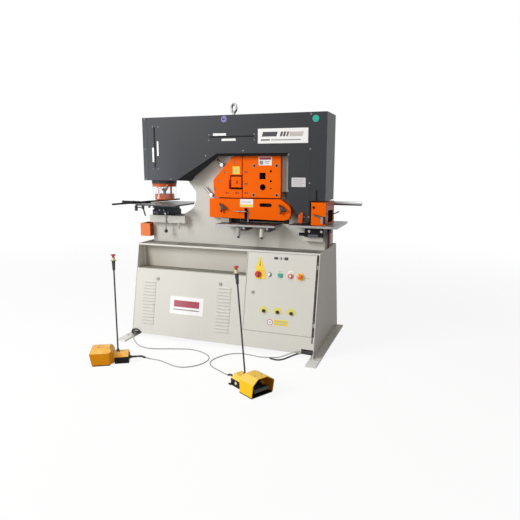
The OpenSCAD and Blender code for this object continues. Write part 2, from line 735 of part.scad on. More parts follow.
module slug_bin() color(orange) difference() {
    block([-852, -bolster_d / 2, bin_z], [-frame_left - seat_gap, bolster_d / 2, bin_z + 110]);
    block([-849, -bolster_d / 2 + 3, bin_z + 3], [-frame_left - 3.3, bolster_d / 2 - 3, bin_z + 111]);
    block([-frame_left - 9, -gap_y - 4, bin_z + 50], [-frame_left + 9, gap_y + 4, bin_z + 111]);
}

// ---- Shear group ----
plates_top = 1470;
module angle_plate() color(orange) difference() {
    xz_plate(-frame_y - angle_plate_t, -frame_y) difference() {
        polygon([[13, plates_top], [87, plates_top], [87, 1148], [-147, 1148], [-160, 1232],
                 [-160, 1286], [-71, 1382]]);
        angle_way();
        translate([angle_x + 10, angle_z + 8]) square([104, 104]);
    }
    for (p = [[31, 1424], [-55, 1347], [-108, 1279], [-140, 1215]])
        y_rod(p[0], p[1], -frame_y - angle_plate_t - 1, -frame_y - angle_plate_t + 12, 10);
    for (x = [-38, 48])
        block([x - 14, -frame_y - angle_plate_t - 1, 1178], [x + 14, -frame_y - angle_plate_t + 14, 1192]);
}
module angle_holddown() color(orange) {
    x0 = angle_x + 10 + 8;
    z0 = angle_z + 8 + 8;
    block([x0, -frame_y - angle_plate_t + 6, z0], [x0 + 84, -frame_y - seat_gap, z0 + 84]);
    y_rod(x0 + 40, z0 + 44, -frame_y - angle_plate_t - 6, -frame_y - angle_plate_t + 7, 11);
}
module strip_plate() color(orange) difference() {
    block([96, -frame_y - bar_plate_t + 3, 1150], [153.7, -frame_y, plates_top]);
    for (z = [1348, 1257, 1185])
        block([112, -frame_y - bar_plate_t, z - 7], [138, -frame_y - bar_plate_t + 16, z + 7]);
}
module bar_plate() color(orange) difference() {
    xz_plate(-frame_y - bar_plate_t, -frame_y) difference() {
        translate([154, 1152]) square([256, plates_top - 1152 + 3]);
        bar_ways();
    }
    for (p = [[194, 1398], [377, 1398], [188, 1172], [379, 1173]])
        y_rod(p[0], p[1], -frame_y - bar_plate_t - 1, -frame_y - bar_plate_t + 10, 12);
}
lower_y = -frame_y - 55;
knob_xs = [-67, 433];
knob_z = 1070;
holddown_x = 132.5;
holddown_y = lower_y + 34;
holddown_r = 9;
module lower_outline() {
    polygon([[-189, 1137], [412, 1144], [484, 1094], [496, 1070], [496, 1020], [478, 992],
             [440, 980], [-189, 988]]);
}
module lower_plate() color(orange) difference() {
    xz_plate(lower_y, -frame_y) lower_outline();
    difference() {
        block([-176, lower_y + 12, 975], [430, -frame_y + 1, 1124]);
        block([holddown_x - 19, lower_y + 11, 1072], [holddown_x + 19, -frame_y, 1098]);
    }
    block([holddown_x - 18, lower_y - 1, 975], [holddown_x + 18, lower_y + 20, 1068]);
    block([254, lower_y - 1, 1082], [328, lower_y + 20, 1110]);
    for (x = [254, 328]) y_rod(x, 1096, lower_y - 1, lower_y + 20, 14);
    for (x = knob_xs) y_rod(x, knob_z, lower_y - 1, lower_y + 40, 8 + run_gap);
    translate([holddown_x, holddown_y, 1000]) cylinder(h = 120, r = holddown_r + run_gap);
}
module hex_head(x, z, y, r = 9) {
    translate([x, y, z]) rotate([90, 0, 0]) cylinder(h = 8, r = r, $fn = 6);
}
module machine_bolts() color([0.5, 0.45, 0.42]) {
    y = -frame_y - bar_plate_t + 10;
    for (p = [[194, 1398], [377, 1398], [188, 1172], [379, 1173]]) hex_head(p[0], p[1], y, 10);
    ya = -frame_y - angle_plate_t + 12;
    for (p = [[31, 1424], [-55, 1347], [-108, 1279], [-140, 1215]]) hex_head(p[0], p[1], ya, 8);
    for (x = [-38, 48]) hex_head(x, 1185, ya + 2, 6);
    for (z = [1348, 1257, 1185]) hex_head(125, z, -frame_y - bar_plate_t + 16, 6);
    for (x = [656, 750]) hex_head(x, 913, -150, 11);
    for (x = [142, 336]) hex_head(x, 919, -192, 10);
}
module flat_holddown() color(steel) {
    translate([holddown_x, holddown_y, 958]) cylinder(h = 8, r = 15);
    translate([holddown_x, holddown_y, 958]) cylinder(h = 150, r = holddown_r);
    y_rod(holddown_x, 1042, lower_y - 26, holddown_y, 5);
    x_rod(lower_y - 24, 1042, 40, holddown_x + 8, 4.5);
}
module wing_knob(x, z) {
    y_rod(x, z, lower_y - 34, lower_y - seat_gap, 17);
    y_rod(x, z, lower_y - 1, lower_y + 36, 8);
    translate([x, lower_y - 24, z]) rotate([0, -38, 0]) cylinder(h = 54, r = 6);
    translate([x, lower_y - 24, z]) rotate([0, 150, 0]) cylinder(h = 30, r = 8);
}
module clamp_knob_left() color(black) wing_knob(knob_xs[0], knob_z);
module clamp_knob_right() color(black) wing_knob(knob_xs[1], knob_z);
module clamp_lever(x, z, l) {
    y_rod(x, z, -frame_y - 36, -frame_y - seat_gap, 15);
    y_rod(x, z, -frame_y - 1, -frame_y + 18, 8);
    translate([x, -frame_y - 20, z]) rotate([0, -44, 0]) cylinder(h = l, r = 9);
}
module clamp_lever_upper() color(steel) clamp_lever(upper_lever[0], upper_lever[1], 62);
module clamp_lever_lower() color(steel) clamp_lever(lower_lever[0], lower_lever[1], 84);
module shear_table() color([0.5, 0.5, 0.52]) {
    difference() {
        block([-76, -246, shear_table_z - shear_table_t], [410, -frame_y - seat_gap, shear_table_z]);
        for (x = [40, 300]) block([x, -200, shear_table_z - 20], [x + 60, -190, shear_table_z + 1]);
    }
    for (x = [120, 314]) {
        block([x, -192, 898], [x + 40, -frame_y - seat_gap, shear_table_z - shear_table_t]);
        translate([x - 20, -205, 858]) cylinder(h = shear_table_z - shear_table_t - 858, r = 16);
        translate([x - 20, -205, 842]) cylinder(h = 17, r = 10);
    }
    block([-88, -110, shear_table_z], [-20, -frame_y - seat_gap, shear_table_z + 32]);
}
module beam_outline() {
    translate([pin_x, pin_z]) circle(r = 64);
    polygon([[pin_x - 20, pin_z + 60], [pin_x + 10, pin_z - 63], [flat_x0 - 10, 964], [flat_x1 + 10, 986],
             [636, 1012], [636, 1052], [746, 1052], [746, 1116], [636, 1122], [636, beam_top_z],
             [440, beam_top_z], [40, 1330]]);
}
module shear_beam() color([0.38, 0.38, 0.4]) difference() {
    xz_plate(-beam_y, beam_y) difference() {
        union() {
            beam_outline();
            translate([690, 1000]) square([50, 60]);
        }
        angle_way();
        bar_ways();
        translate([pin_x, pin_z]) circle(r = pin_r + run_gap);
    }
}
module shear_cylinder() color(light_grey) difference() {
    union() {
        translate([shear_cyl_x, 0, 1500]) cylinder(h = 200, r = shear_cyl_r);
        translate([shear_cyl_x, 0, 1490]) cylinder(h = 14, r = shear_cyl_r);
        block([shear_cyl_x - 40, -40, 1700], [shear_cyl_x + 40, 40, frame_top - 40]);
    }
    translate([shear_cyl_x, 0, 1530]) cylinder(h = 160, r = 45);
    translate([shear_cyl_x, 0, 1480]) cylinder(h = 80, r = 30 + run_gap);
}
rod_tip_z = beam_top_z + seat_gap;
module shear_rod() color(steel) {
    translate([shear_cyl_x, 0, rod_tip_z]) intersection() {
        translate([0, 0, 30]) sphere(r = 30);
        translate([-15, -15, 0]) cube([30, 30, 60]);
    }
    translate([shear_cyl_x, 0, rod_tip_z + 20]) cylinder(h = 180, r = 30);
    translate([shear_cyl_x, 0, rod_tip_z + 190]) cylinder(h = 40, r = 45 - run_gap);
}

// ---- Notcher ----
guard_x0 = 672;
guard_x1 = 782;
guard_y0 = -168;
guard_y1 = 135;
guard_top = 1130;
guard_t = 4;
// The guard turns on a pin inside its rear corner
guard_pin = [guard_x1 - guard_t - 8, guard_y1 - guard_t - 8];
guard_pin_r = 4.5;
module notch_table() color([0.6, 0.6, 0.61]) {
    difference() {
        translate([0, 0, notch_z - notch_t]) linear_extrude(notch_t)
            polygon([[512, -236], [880, -236], [880, 200], [guard_pin[0] - 10, 200], [guard_pin[0] - 10, 120],
                     [notch_x0 + 6, 120], [notch_x0 + 6, -frame_y - 2], [512, -frame_y - 2]]);
        block([678, -gap_y - 2, notch_z - 40], [744, gap_y + 2, notch_z + 1]);
        for (y = [-180, -60, 60, 150]) block([800, y, notch_z - 40], [862, y + 14, notch_z + 1]);
    }
    translate([guard_pin[0], guard_pin[1], notch_z - 1]) cylinder(h = 90, r = guard_pin_r);
}
module notch_block() color([0.12, 0.12, 0.13]) difference() {
    union() {
        block([620, -150, 869], [764, -frame_y - seat_gap, notch_z - notch_t]);
        block([620, frame_y + seat_gap, 869], [764, 150, notch_z - notch_t]);
        x_rod(-118, 884, 570, 622, 12);
    }
    block([620 - 1, -160, 930], [640, -140, 960]);
}
module notch_guard() color(orange) difference() {
    union() {
        difference() {
            block([guard_x0, guard_y0, notch_z + seat_gap], [guard_x1, guard_y1, guard_top]);
            block([guard_x0 - 1, guard_y0 + guard_t, notch_z - 1],
                  [guard_x1 - guard_t, guard_y1 - guard_t, guard_top - guard_t]);
        }
        translate([guard_pin[0], guard_pin[1], notch_z + seat_gap]) cylinder(h = 100, r = 9);
    }
    translate([guard_pin[0], guard_pin[1], notch_z - 1]) cylinder(h = 95, r = guard_pin_r + run_gap);
    yz_plate(guard_x1 - 10, guard_x1 + 1)
        polygon([[-84, notch_z + 10], [100, notch_z + 10], [100, 1060], [-84, 1068]]);
    xz_plate(guard_y0 - 1, guard_y0 + 10) polygon([[687, 1034], [768, 1014], [768, 1026], [687, 1046]]);
    block([770, guard_y0 - 1, notch_z + 14], [778, guard_y0 + 10, 1026]);
}
module stop_bar() color(steel) {
    x_rod(stop_bar_y, stop_bar_z, 300, 994, stop_bar_r);
}

// ---- Foot controls ----
left_pedal = [-488, -877, 210];
right_pedal = [404, -957, -31];
module pedal_at(p) {
    translate([p[0], p[1], 0]) rotate([0, 0, p[2]]) children();
}
pedal_wall = 4;
pedal_base_t = 8;
body_l = pedal_l - hood_l;
body_w = 108;
shoulder_l = 28;
switch_l = body_l - shoulder_l - 4;
hood_side = 49;
hood_lean = atan2(pedal_h - hood_mid_z, hood_side);
pivot_x = body_l + 30;
pivot_z = 32;
pivot_r = 6;
rod_x = 75;
rod_z = pedal_body_h + 4;
// The hood seen from its mouth, from the side and from above
module hood_profile(inset) {
    w = pedal_w / 2 - inset;
    top = pedal_w / 2 - hood_side - inset * tan(hood_lean / 2);
    mid = hood_mid_z - inset * tan(45 - hood_lean / 2);
    polygon([[-w, pedal_base_t - 1], [w, pedal_base_t - 1], [w, mid], [top, pedal_h - inset],
             [-top, pedal_h - inset], [-w, mid]]);
}
module hood_side_view() {
    polygon([[body_l - shoulder_l, 0], [pedal_l - 16, 0], [pedal_l, hood_mid_z], [pedal_l - 12, pedal_h + 1],
             [body_l, pedal_h + 1], [body_l - shoulder_l, pedal_body_h + 5]]);
}
module hood_plan() {
    w = pedal_w / 2;
    polygon([[body_l - shoulder_l, -body_w / 2], [body_l, -w], [pedal_l, -w], [pedal_l, w], [body_l, w],
             [body_l - shoulder_l, body_w / 2]]);
}
module hood_form() {
    intersection() {
        yz_plate(body_l - shoulder_l, pedal_l) hood_profile(0);
        xz_plate(-pedal_w / 2, pedal_w / 2) hood_side_view();
        linear_extrude(pedal_h) hood_plan();
    }
}
module body_profile(inset) {
    w = body_w / 2 - inset;
    top = pedal_body_h - inset;
    polygon([[-w, 30], [w, 30], [w, top - 24], [w - 22, top], [-w + 22, top], [-w, top - 24]]);
}
module pedal_housing() {
    difference() {
        union() {
            block([body_l - 4, 2 - pedal_w / 2, 0], [pedal_l - 18, pedal_w / 2 - 2, pedal_base_t]);
            hood_form();
            yz_plate(0, body_l - shoulder_l + 1) body_profile(0);
            // Switch box under the body
            block([-4, -body_w / 2 - 2, 0], [switch_l, body_w / 2 + 2, 46]);
            translate([rod_x, 0, pedal_body_h - 1]) cylinder(h = rod_z - pedal_body_h + 1, r = 15);
        }
        yz_plate(body_l + pedal_wall, pedal_l + 1) hood_profile(pedal_wall);
        block([8, -44, 8], [switch_l - 8, 44, 42]);
        yz_plate(8, switch_l - 8) body_profile(10);
    }
    // Seats of the treadle's pivot
    for (s = [-1, 1]) difference() {
        block([pivot_x - 10, s > 0 ? 61 : 2 - pedal_w / 2, pedal_base_t - 1],
              [pivot_x + 10, s > 0 ? pedal_w / 2 - 2 : -61, pivot_z + 11]);
        y_rod(pivot_x, pivot_z, s * 72 - 14, s * 72 + 14, pivot_r + run_gap);
    }
}
module pedal_housings() color(yellow) {
    pedal_at(left_pedal) pedal_housing();
    pedal_at(right_pedal) pedal_housing();
}
module treadle() {
    l = pedal_l - pivot_x - 22;
    translate([pivot_x, 0, pivot_z]) {
        rotate([0, -7, 0]) {
            xz_plate(-58, 58) polygon([[-9, -7], [l, -14], [l, 5], [-9, 5]]);
            for (k = [0:4]) translate([20 + k * 13, -52, 4]) cube([6, 104, 4]);
        }
        y_rod(0, 0, -74, 74, pivot_r);
    }
}
module treadle_left() color(black) pedal_at(left_pedal) treadle();
module treadle_right() color(black) pedal_at(right_pedal) treadle();
module rod_lean(side) {
    p = side < 0 ? left_pedal : right_pedal;
    base = [p[0] + rod_x * cos(p[2]), p[1] + rod_x * sin(p[2]), rod_z];
    translate(base) rotate([0, -rod_tilt(side), 0]) translate([0, 0, -rod_z]) children();
}
rod_nut_r = 12;
function rod_tilt(side) = side < 0 ? 0 : right_rod_lean;
collar_z = grip_z + 73;
module pedal_rod(side) rod_lean(side) {
    difference() {
        union() {
            translate([0, 0, rod_z + seat_gap + rod_nut_r * sin(rod_tilt(side))])
                cylinder(h = 14, r1 = rod_nut_r, r2 = 8);
            translate([0, 0, rod_z + 6]) cylinder(h = grip_z - rod_z - 5, r = 4.5);
            translate([0, 0, grip_z]) cylinder(h = 72, r1 = 10, r2 = 12);
            translate([0, 0, collar_z - 1]) cylinder(h = 21, r1 = 12, r2 = 15);
        }
        translate([0, 0, collar_z + 2]) cylinder(h = 30, r = 6 + run_gap);
    }
}
module pedal_rods() color(black) {
    pedal_rod(-1);
    pedal_rod(1);
}
module rod_estop(side) color(red) rod_lean(side) {
    translate([0, 0, collar_z + 25]) estop_cap();
    translate([0, 0, collar_z + 8]) cylinder(h = 18, r = 6);
}
module rod_estop_left() rod_estop(-1);
module rod_estop_right() rod_estop(1);

// ---- Control cables ----
gland_l = 66;
gland_x = 4;
left_exit = [-735, -416, skirt_z + 4 - 9 - seat_gap];
right_exit = [684, -420, 58];
function pedal_exit(p) = [p[0] - (gland_l + gland_x) * cos(p[2]), p[1] - (gland_l + gland_x) * sin(p[2]), 26];
module pedal_gland() {
    translate([-gland_x, 0, 26]) rotate([0, -90, 0]) {
        cylinder(h = 12, r = 12);
        cylinder(h = gland_l, r1 = 9, r2 = 6.5);
    }
}
module cable_glands() color(black) {
    pedal_at(left_pedal) pedal_gland();
    pedal_at(right_pedal) pedal_gland();
    translate(right_exit) rotate([0, 90, 0]) cylinder(h = inner_x - right_exit[0], r = 8);
    translate(left_exit) rotate([-90, 0, 0]) cylinder(h = 46, r = 9);
}
left_route = concat([pedal_exit(left_pedal)],
    [[-412, -833, 25], [-391, -822, 15], [-350, -810, 5], [-276, -813, 4], [-200, -838, 4],
     [-129, -866, 4], [-60, -868, 4], [0, -830, 4], [42, -770, 4], [56, -690, 4], [30, -622, 4],
     [-35, -570, 4], [-95, -545, 4], [-159, -535, 4], [-230, -548, 4], [-300, -571, 4],
     [-450, -622, 4], [-538, -618, 4], [-600, -590, 4], [-690, -512, 6], [-718, -476, 13],
     [-730, -460, 22], [-734, -436, 33]],
    [left_exit]);
right_route = concat([pedal_exit(right_pedal)],
    [[329, -912, 25], [311, -901, 16], [285, -880, 8], [240, -850, 4], [193, -822, 4],
     [140, -790, 4], [98, -742, 4], [84, -680, 4], [99, -613, 4], [128, -555, 4], [165, -513, 4],
     [222, -483, 4], [280, -480, 4], [340, -488, 4], [405, -495, 4], [515, -470, 8],
     [560, -450, 20], [604, -434, 38], [638, -425, 50], [664, -421, 57]],
    [right_exit]);
function lift(p) = [p[0], p[1], max(p[2], cable_r)];
// Smooth path through the points: Catmull-Rom, two steps for each stretch
function cr(a, b, c, d, t) = 0.5 * ((2 * b) + (c - a) * t + (2 * a - 5 * b + 4 * c - d) * t * t
    + (3 * b - a - 3 * c + d) * t * t * t);
function smooth(p) = concat([for (i = [0:len(p) - 2], t = [0, 0.5])
    lift(cr(p[max(i - 1, 0)], p[i], p[i + 1], p[min(i + 2, len(p) - 1)], t))], [p[len(p) - 1]]);
function unit(v) = v / norm(v);
function heading(p, i) = unit(p[min(i + 1, len(p) - 1)] - p[max(i - 1, 0)]);
cable_sides = 8;
module cable(route) {
    p = smooth(route);
    n = len(p);
    m = cable_sides;
    pts = [for (i = [0:n - 1]) let (f = heading(p, i), s = unit(cross(f, [0, 0, 1])), u = cross(s, f))
        for (k = [0:m - 1]) p[i] + cable_r * (cos(360 * k / m) * s + sin(360 * k / m) * u)];
    faces = concat([[for (k = [0:m - 1]) k]], [[for (k = [m - 1:-1:0]) (n - 1) * m + k]],
        [for (i = [0:n - 2], k = [0:m - 1])
            [i * m + k, (i + 1) * m + k, (i + 1) * m + (k + 1) % m, i * m + (k + 1) % m]]);
    polyhedron(points = pts, faces = faces, convexity = 8);
}
module cable_left() color([0.62, 0.62, 0.63]) cable(left_route);
module cable_right() color([0.62, 0.62, 0.63]) cable(right_route);

base_cabinet();
front_panel();
power_pack();
component_plate();
door();
door_lock();
main_switch();
start_button();
stop_button();
door_estop();
selector_left();
selector_middle();
selector_right();
frame();
main_pin();
wrap_cover();
front_cover();
lifting_eye();
punch_cylinder();
punch_ram();
punch();
ram_housing();
guard_flange();
punch_guard();
stripper();
punch_table();
die_holder();
die();
die_clamp_lever();
fence_bar();
fence_lever();
slug_bin();
angle_plate();
strip_plate();
bar_plate();
lower_plate();
machine_bolts();
angle_holddown();
flat_holddown();
clamp_knob_left();
clamp_knob_right();
clamp_lever_upper();
clamp_lever_lower();
shear_table();
shear_beam();
shear_cylinder();
shear_rod();
notch_table();
notch_block();
notch_guard();
stop_bar();
pedal_housings();
treadle_left();
treadle_right();
pedal_rods();
rod_estop_left();
rod_estop_right();
cable_glands();
cable_left();
cable_right();
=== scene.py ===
import math

import bmesh
import bpy
from mathutils import Matrix, Vector


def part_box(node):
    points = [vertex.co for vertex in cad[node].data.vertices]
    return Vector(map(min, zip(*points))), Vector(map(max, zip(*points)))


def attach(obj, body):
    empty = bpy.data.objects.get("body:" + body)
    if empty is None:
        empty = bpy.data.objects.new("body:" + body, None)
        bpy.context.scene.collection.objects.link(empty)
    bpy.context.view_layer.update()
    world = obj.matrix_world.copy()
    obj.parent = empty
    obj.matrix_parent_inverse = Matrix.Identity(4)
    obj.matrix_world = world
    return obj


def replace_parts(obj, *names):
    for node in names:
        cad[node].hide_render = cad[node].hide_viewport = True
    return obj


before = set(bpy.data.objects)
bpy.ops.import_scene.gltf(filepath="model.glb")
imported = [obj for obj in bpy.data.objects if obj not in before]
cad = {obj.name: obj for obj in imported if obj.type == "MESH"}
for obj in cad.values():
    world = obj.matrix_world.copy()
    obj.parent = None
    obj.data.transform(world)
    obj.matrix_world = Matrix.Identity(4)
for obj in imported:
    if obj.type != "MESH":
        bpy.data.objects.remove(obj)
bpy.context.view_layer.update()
for leftover in [o for o in bpy.data.objects if o.type in {"LIGHT", "CAMERA"}]:
    bpy.data.objects.remove(leftover)

# ---- Camera ----
# It stands in front of the machine, a little to the right of its middle and at chest height,
# and looks slightly down and to the left.
scene = bpy.context.scene
yaw, pitch, roll = math.radians(19.93), math.radians(-10.45), math.radians(0.14)
ahead = Vector((-math.sin(yaw) * math.cos(pitch), math.cos(yaw) * math.cos(pitch), math.sin(pitch)))
across = ahead.cross(Vector((0, 0, 1))).normalized()
lens = bpy.data.cameras.new("camera")
lens.sensor_width, lens.lens = 36, 34.43
camera = bpy.data.objects.new("camera", lens)
turned_view = Matrix((across, across.cross(ahead), -ahead)).transposed() @ Matrix.Rotation(roll, 3, "Z")
camera.matrix_world = Matrix.Translation((1.57785, -3.78124, 1.37886)) @ turned_view.to_4x4()
scene.collection.objects.link(camera)
scene.camera = camera


# ---- Control cables ----
# Two grey PVC-sheathed leads, 8 mm thick, run loose over the floor from the foot controls to the
# cabinet, in moulded glands and with a black sleeve at the pedal's end. A thicker black tail and
# a short loop of black cable come out of the cabinet's lower corners.
def new_group(name, takes, gives):
    """A node group with named inputs and outputs; returns it with its input and output nodes."""
    group = bpy.data.node_groups.new(name, "ShaderNodeTree")
    for label, kind, value in takes:
        socket = group.interface.new_socket(label, in_out="INPUT", socket_type="NodeSocket" + kind)
        socket.default_value = value
    for label, kind in gives:
        group.interface.new_socket(label, in_out="OUTPUT", socket_type="NodeSocket" + kind)
    return group, group.nodes.new("NodeGroupInput"), group.nodes.new("NodeGroupOutput")


def put(tree, kind, links=(), values=(), **settings):
    """Adds a node, sets its settings and its sockets' values, and links other sockets into it."""
    node = tree.nodes.new("ShaderNode" + kind)
    for name, value in settings.items():
        setattr(node, name, value)
    for name, value in dict(values).items():
        node.inputs[name].default_value = value
    for name, source in dict(links).items():
        tree.links.new(source, node.inputs[name])
    return node


def feed(tree, node, sources):
    """Gives a node's inputs, by index, a socket or a plain value each."""
    for index, source in sources.items():
        if isinstance(source, bpy.types.NodeSocket):
            tree.links.new(source, node.inputs[index])
        else:
            node.inputs[index].default_value = source


def mixed(tree, factor, first, second):
    """A colour mix; each of the three may be a socket or a plain value."""
    node = put(tree, "Mix", data_type="RGBA")
    feed(tree, node, {0: factor, 6: first, 7: second})
    return node.outputs[2]


def sums(tree, operation, first, second=0.0, clamp=False):
    """A math node; each side may be a socket or a number."""
    node = put(tree, "Math", operation=operation, use_clamp=clamp)
    feed(tree, node, {0: first, 1: second})
    return node.outputs[0]


def build_finish():
    """Skin of a painted, moulded or drawn part: slow drift of tone and gloss, a fine bump, soft
    edges, and a second colour at the corners, where the skin is thin or rubbed."""
    group, given, out = new_group(
        "finish",
        [("Color", "Color", (0.8, 0.8, 0.8, 1)), ("Edge Color", "Color", (0.9, 0.9, 0.9, 1)),
         ("Edge Share", "Float", 0.2), ("Drift", "Float", 0.04), ("Drift Scale", "Float", 3.0),
         ("Roughness", "Float", 0.4), ("Rough Drift", "Float", 0.06), ("Bump Scale", "Float", 400.0),
         ("Bump Height", "Float", 0.00005), ("Edge Radius", "Float", 0.0015),
         ("Stretch", "Vector", (1, 1, 1))],
        [("Color", "Color"), ("Roughness", "Float"), ("Normal", "Vector")])
    take = given.outputs
    place = put(group, "TexCoord").outputs["Object"]
    drawn = put(group, "VectorMath", {0: place, 1: take["Stretch"]}, operation="MULTIPLY").outputs[0]
    cloud = put(group, "TexNoise", {"Vector": drawn, "Scale": take["Drift Scale"]}, {"Detail": 4.0})
    fine = put(group, "TexNoise", {"Vector": drawn, "Scale": take["Bump Scale"]}, {"Detail": 3.0})
    soft = put(group, "Bevel", {"Radius": take["Edge Radius"]}, samples=4)
    bump = put(group, "Bump", {"Height": fine.outputs[0], "Normal": soft.outputs[0],
                               "Distance": take["Bump Height"]}, {"Strength": 1.0})
    flat = put(group, "NewGeometry")
    turn = put(group, "VectorMath", {0: soft.outputs[0], 1: flat.outputs["Normal"]},
               operation="DOT_PRODUCT").outputs["Value"]
    corner = sums(group, "MULTIPLY", sums(group, "SUBTRACT", 1.0, turn), 6.0, clamp=True)
    edge = sums(group, "MULTIPLY", corner, sums(group, "ADD", 0.35, cloud.outputs[0]), clamp=True)
    centred = sums(group, "SUBTRACT", cloud.outputs[0], 0.5)
    spread = sums(group, "MULTIPLY", take["Drift"], 2.0)
    tone = sums(group, "ADD", 1.0, sums(group, "MULTIPLY", centred, spread))
    shaded = put(group, "VectorMath", {0: take["Color"], "Scale": tone}, operation="SCALE").outputs[0]
    colour = mixed(group, sums(group, "MULTIPLY", edge, take["Edge Share"]), shaded, take["Edge Color"])
    rough = sums(group, "ADD", take["Roughness"], sums(group, "MULTIPLY", centred, take["Rough Drift"]))
    for label, source in (("Color", colour), ("Roughness", rough), ("Normal", bump.outputs[0])):
        group.links.new(source, out.inputs[label])
    return group


finish_group = build_finish()


def coated(name, colour, edge_colour=None, metallic=0.0, coat=0.0, coat_rough=0.1, specular=0.5, **values):
    """A material whose skin comes from the finish group; constants stay on the shader."""
    material = bpy.data.materials.new(name)
    material.use_nodes = True
    tree = material.node_tree
    shader = tree.nodes["Principled BSDF"]
    skin = tree.nodes.new("ShaderNodeGroup")
    skin.node_tree = finish_group
    skin.inputs["Color"].default_value = (*colour, 1)
    skin.inputs["Edge Color"].default_value = (*(edge_colour or colour), 1)
    for label, value in values.items():
        skin.inputs[label.replace("_", " ").title()].default_value = value
    for label, socket in (("Color", "Base Color"), ("Roughness", "Roughness"), ("Normal", "Normal")):
        tree.links.new(skin.outputs[label], shader.inputs[socket])
    shader.inputs["Metallic"].default_value = metallic
    shader.inputs["Coat Weight"].default_value = coat
    shader.inputs["Coat Roughness"].default_value = coat_rough
    shader.inputs["Specular IOR Level"].default_value = specular
    material.diffuse_color = (*colour, 1)
    return material


def ring_of(bm, centre, radius, side, up, sides):
    """A ring of corners round a centre, in the plane of two directions."""
    angles = [2 * math.pi * k / sides for k in range(sides)]
    return [bm.verts.new(centre + radius * (math.cos(a) * side + math.sin(a) * up)) for a in angles]


def tube(bm, path, radii, sides=16, slot=0):
    """A round tube along the path, closed at both ends, with a radius for each point."""
    path = [Vector(p) for p in path]
    rings, side = [], None
    for i, point in enumerate(path):
        heading = (path[min(i + 1, len(path) - 1)] - path[max(i - 1, 0)]).normalized()
        if side is None:
            side = heading.orthogonal().normalized()
        side = (side - heading * side.dot(heading)).normalized()
        rings.append(ring_of(bm, point, radii[i], side, heading.cross(side), sides))
    faces = [bm.faces.new(reversed(rings[0])), bm.faces.new(rings[-1])]
    for low, high in zip(rings, rings[1:]):
        for k in range(sides):
            faces.append(bm.faces.new((low[k], low[(k + 1) % sides], high[(k + 1) % sides], high[k])))
    for face in faces:
        face.material_index = slot


def finished(name, bm, materials, body, sharp=35):
    """Turns the built mesh into a piece that rides on a body and takes its finish from a slot."""
    bmesh.ops.recalc_face_normals(bm, faces=bm.faces)
    mesh = bpy.data.meshes.new(name)
    bm.to_mesh(mesh)
    bm.free()
    mesh.shade_smooth()
    mesh.set_sharp_from_angle(angle=math.radians(sharp))
    for material in materials if isinstance(materials, list) else [materials]:
        mesh.materials.append(material)
    piece = bpy.data.objects.new(name, mesh)
    scene.collection.objects.link(piece)
    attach(piece, body)
    return piece


def through(points, steps):
    """A smooth Catmull-Rom path through the points."""
    p = [Vector(q) for q in points]
    path = []
    for i in range(len(p) - 1):
        a, b, c, d = p[max(i - 1, 0)], p[i], p[i + 1], p[min(i + 2, len(p) - 1)]
        for t in (k / steps for k in range(steps)):
            path.append(0.5 * (2 * b + (c - a) * t + (2 * a - 5 * b + 4 * c - d) * t * t
                               + (3 * b - a - 3 * c + d) * t * t * t))
    return path + [p[-1]]


cable_r = 0.004
sleeve_r = 0.0072
tail_r = 0.006
gland_l = 0.066
pedal_headings = {"left": 210, "right": -31}
side_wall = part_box("cable_glands")[1].x
cable_grey = coated("grey_cable_sheath", (0.36, 0.355, 0.35), drift=0.08, drift_scale=9.0, roughness=0.5,
                    bump_scale=900.0, bump_height=0.00003, edge_radius=0.0002)
gland_rubber = coated("gland_rubber", (0.018, 0.018, 0.02), drift=0.12, drift_scale=30.0, roughness=0.55,
                      bump_scale=1500.0, bump_height=0.00004, edge_radius=0.0004)
left_route = [
    (-0.42738, -0.842, 0.026), (-0.412, -0.833, 0.025), (-0.391, -0.822, 0.015),
    (-0.35, -0.81, 0.005), (-0.276, -0.813, 0.004), (-0.2, -0.838, 0.004), (-0.129, -0.866, 0.004),
    (-0.06, -0.868, 0.004), (0, -0.83, 0.004), (0.042, -0.77, 0.004), (0.056, -0.69, 0.004),
    (0.03, -0.622, 0.004), (-0.035, -0.57, 0.004), (-0.095, -0.545, 0.004), (-0.159, -0.535, 0.004),
    (-0.23, -0.548, 0.004), (-0.3, -0.571, 0.004), (-0.45, -0.622, 0.004), (-0.538, -0.618, 0.004),
    (-0.6, -0.59, 0.004), (-0.69, -0.512, 0.006), (-0.718, -0.476, 0.013), (-0.73, -0.46, 0.022),
    (-0.734, -0.436, 0.033), (-0.735, -0.416, 0.0347)]
right_route = [
    (0.344, -0.92095, 0.026), (0.329, -0.912, 0.025), (0.311, -0.901, 0.016), (0.285, -0.88, 0.008),
    (0.24, -0.85, 0.004), (0.193, -0.822, 0.004), (0.14, -0.79, 0.004), (0.098, -0.742, 0.004),
    (0.084, -0.68, 0.004), (0.099, -0.613, 0.004), (0.128, -0.555, 0.004), (0.165, -0.513, 0.004),
    (0.222, -0.483, 0.004), (0.28, -0.48, 0.004), (0.34, -0.488, 0.004), (0.405, -0.495, 0.004),
    (0.515, -0.47, 0.008), (0.56, -0.45, 0.02), (0.604, -0.434, 0.038), (0.638, -0.425, 0.05),
    (0.664, -0.421, 0.057), (0.684, -0.42, 0.058)]


def above_floor(path, radius):
    """The path, lifted wherever the cable would sink into the floor."""
    return [Vector((p.x, p.y, max(p.z, radius))) for p in path]


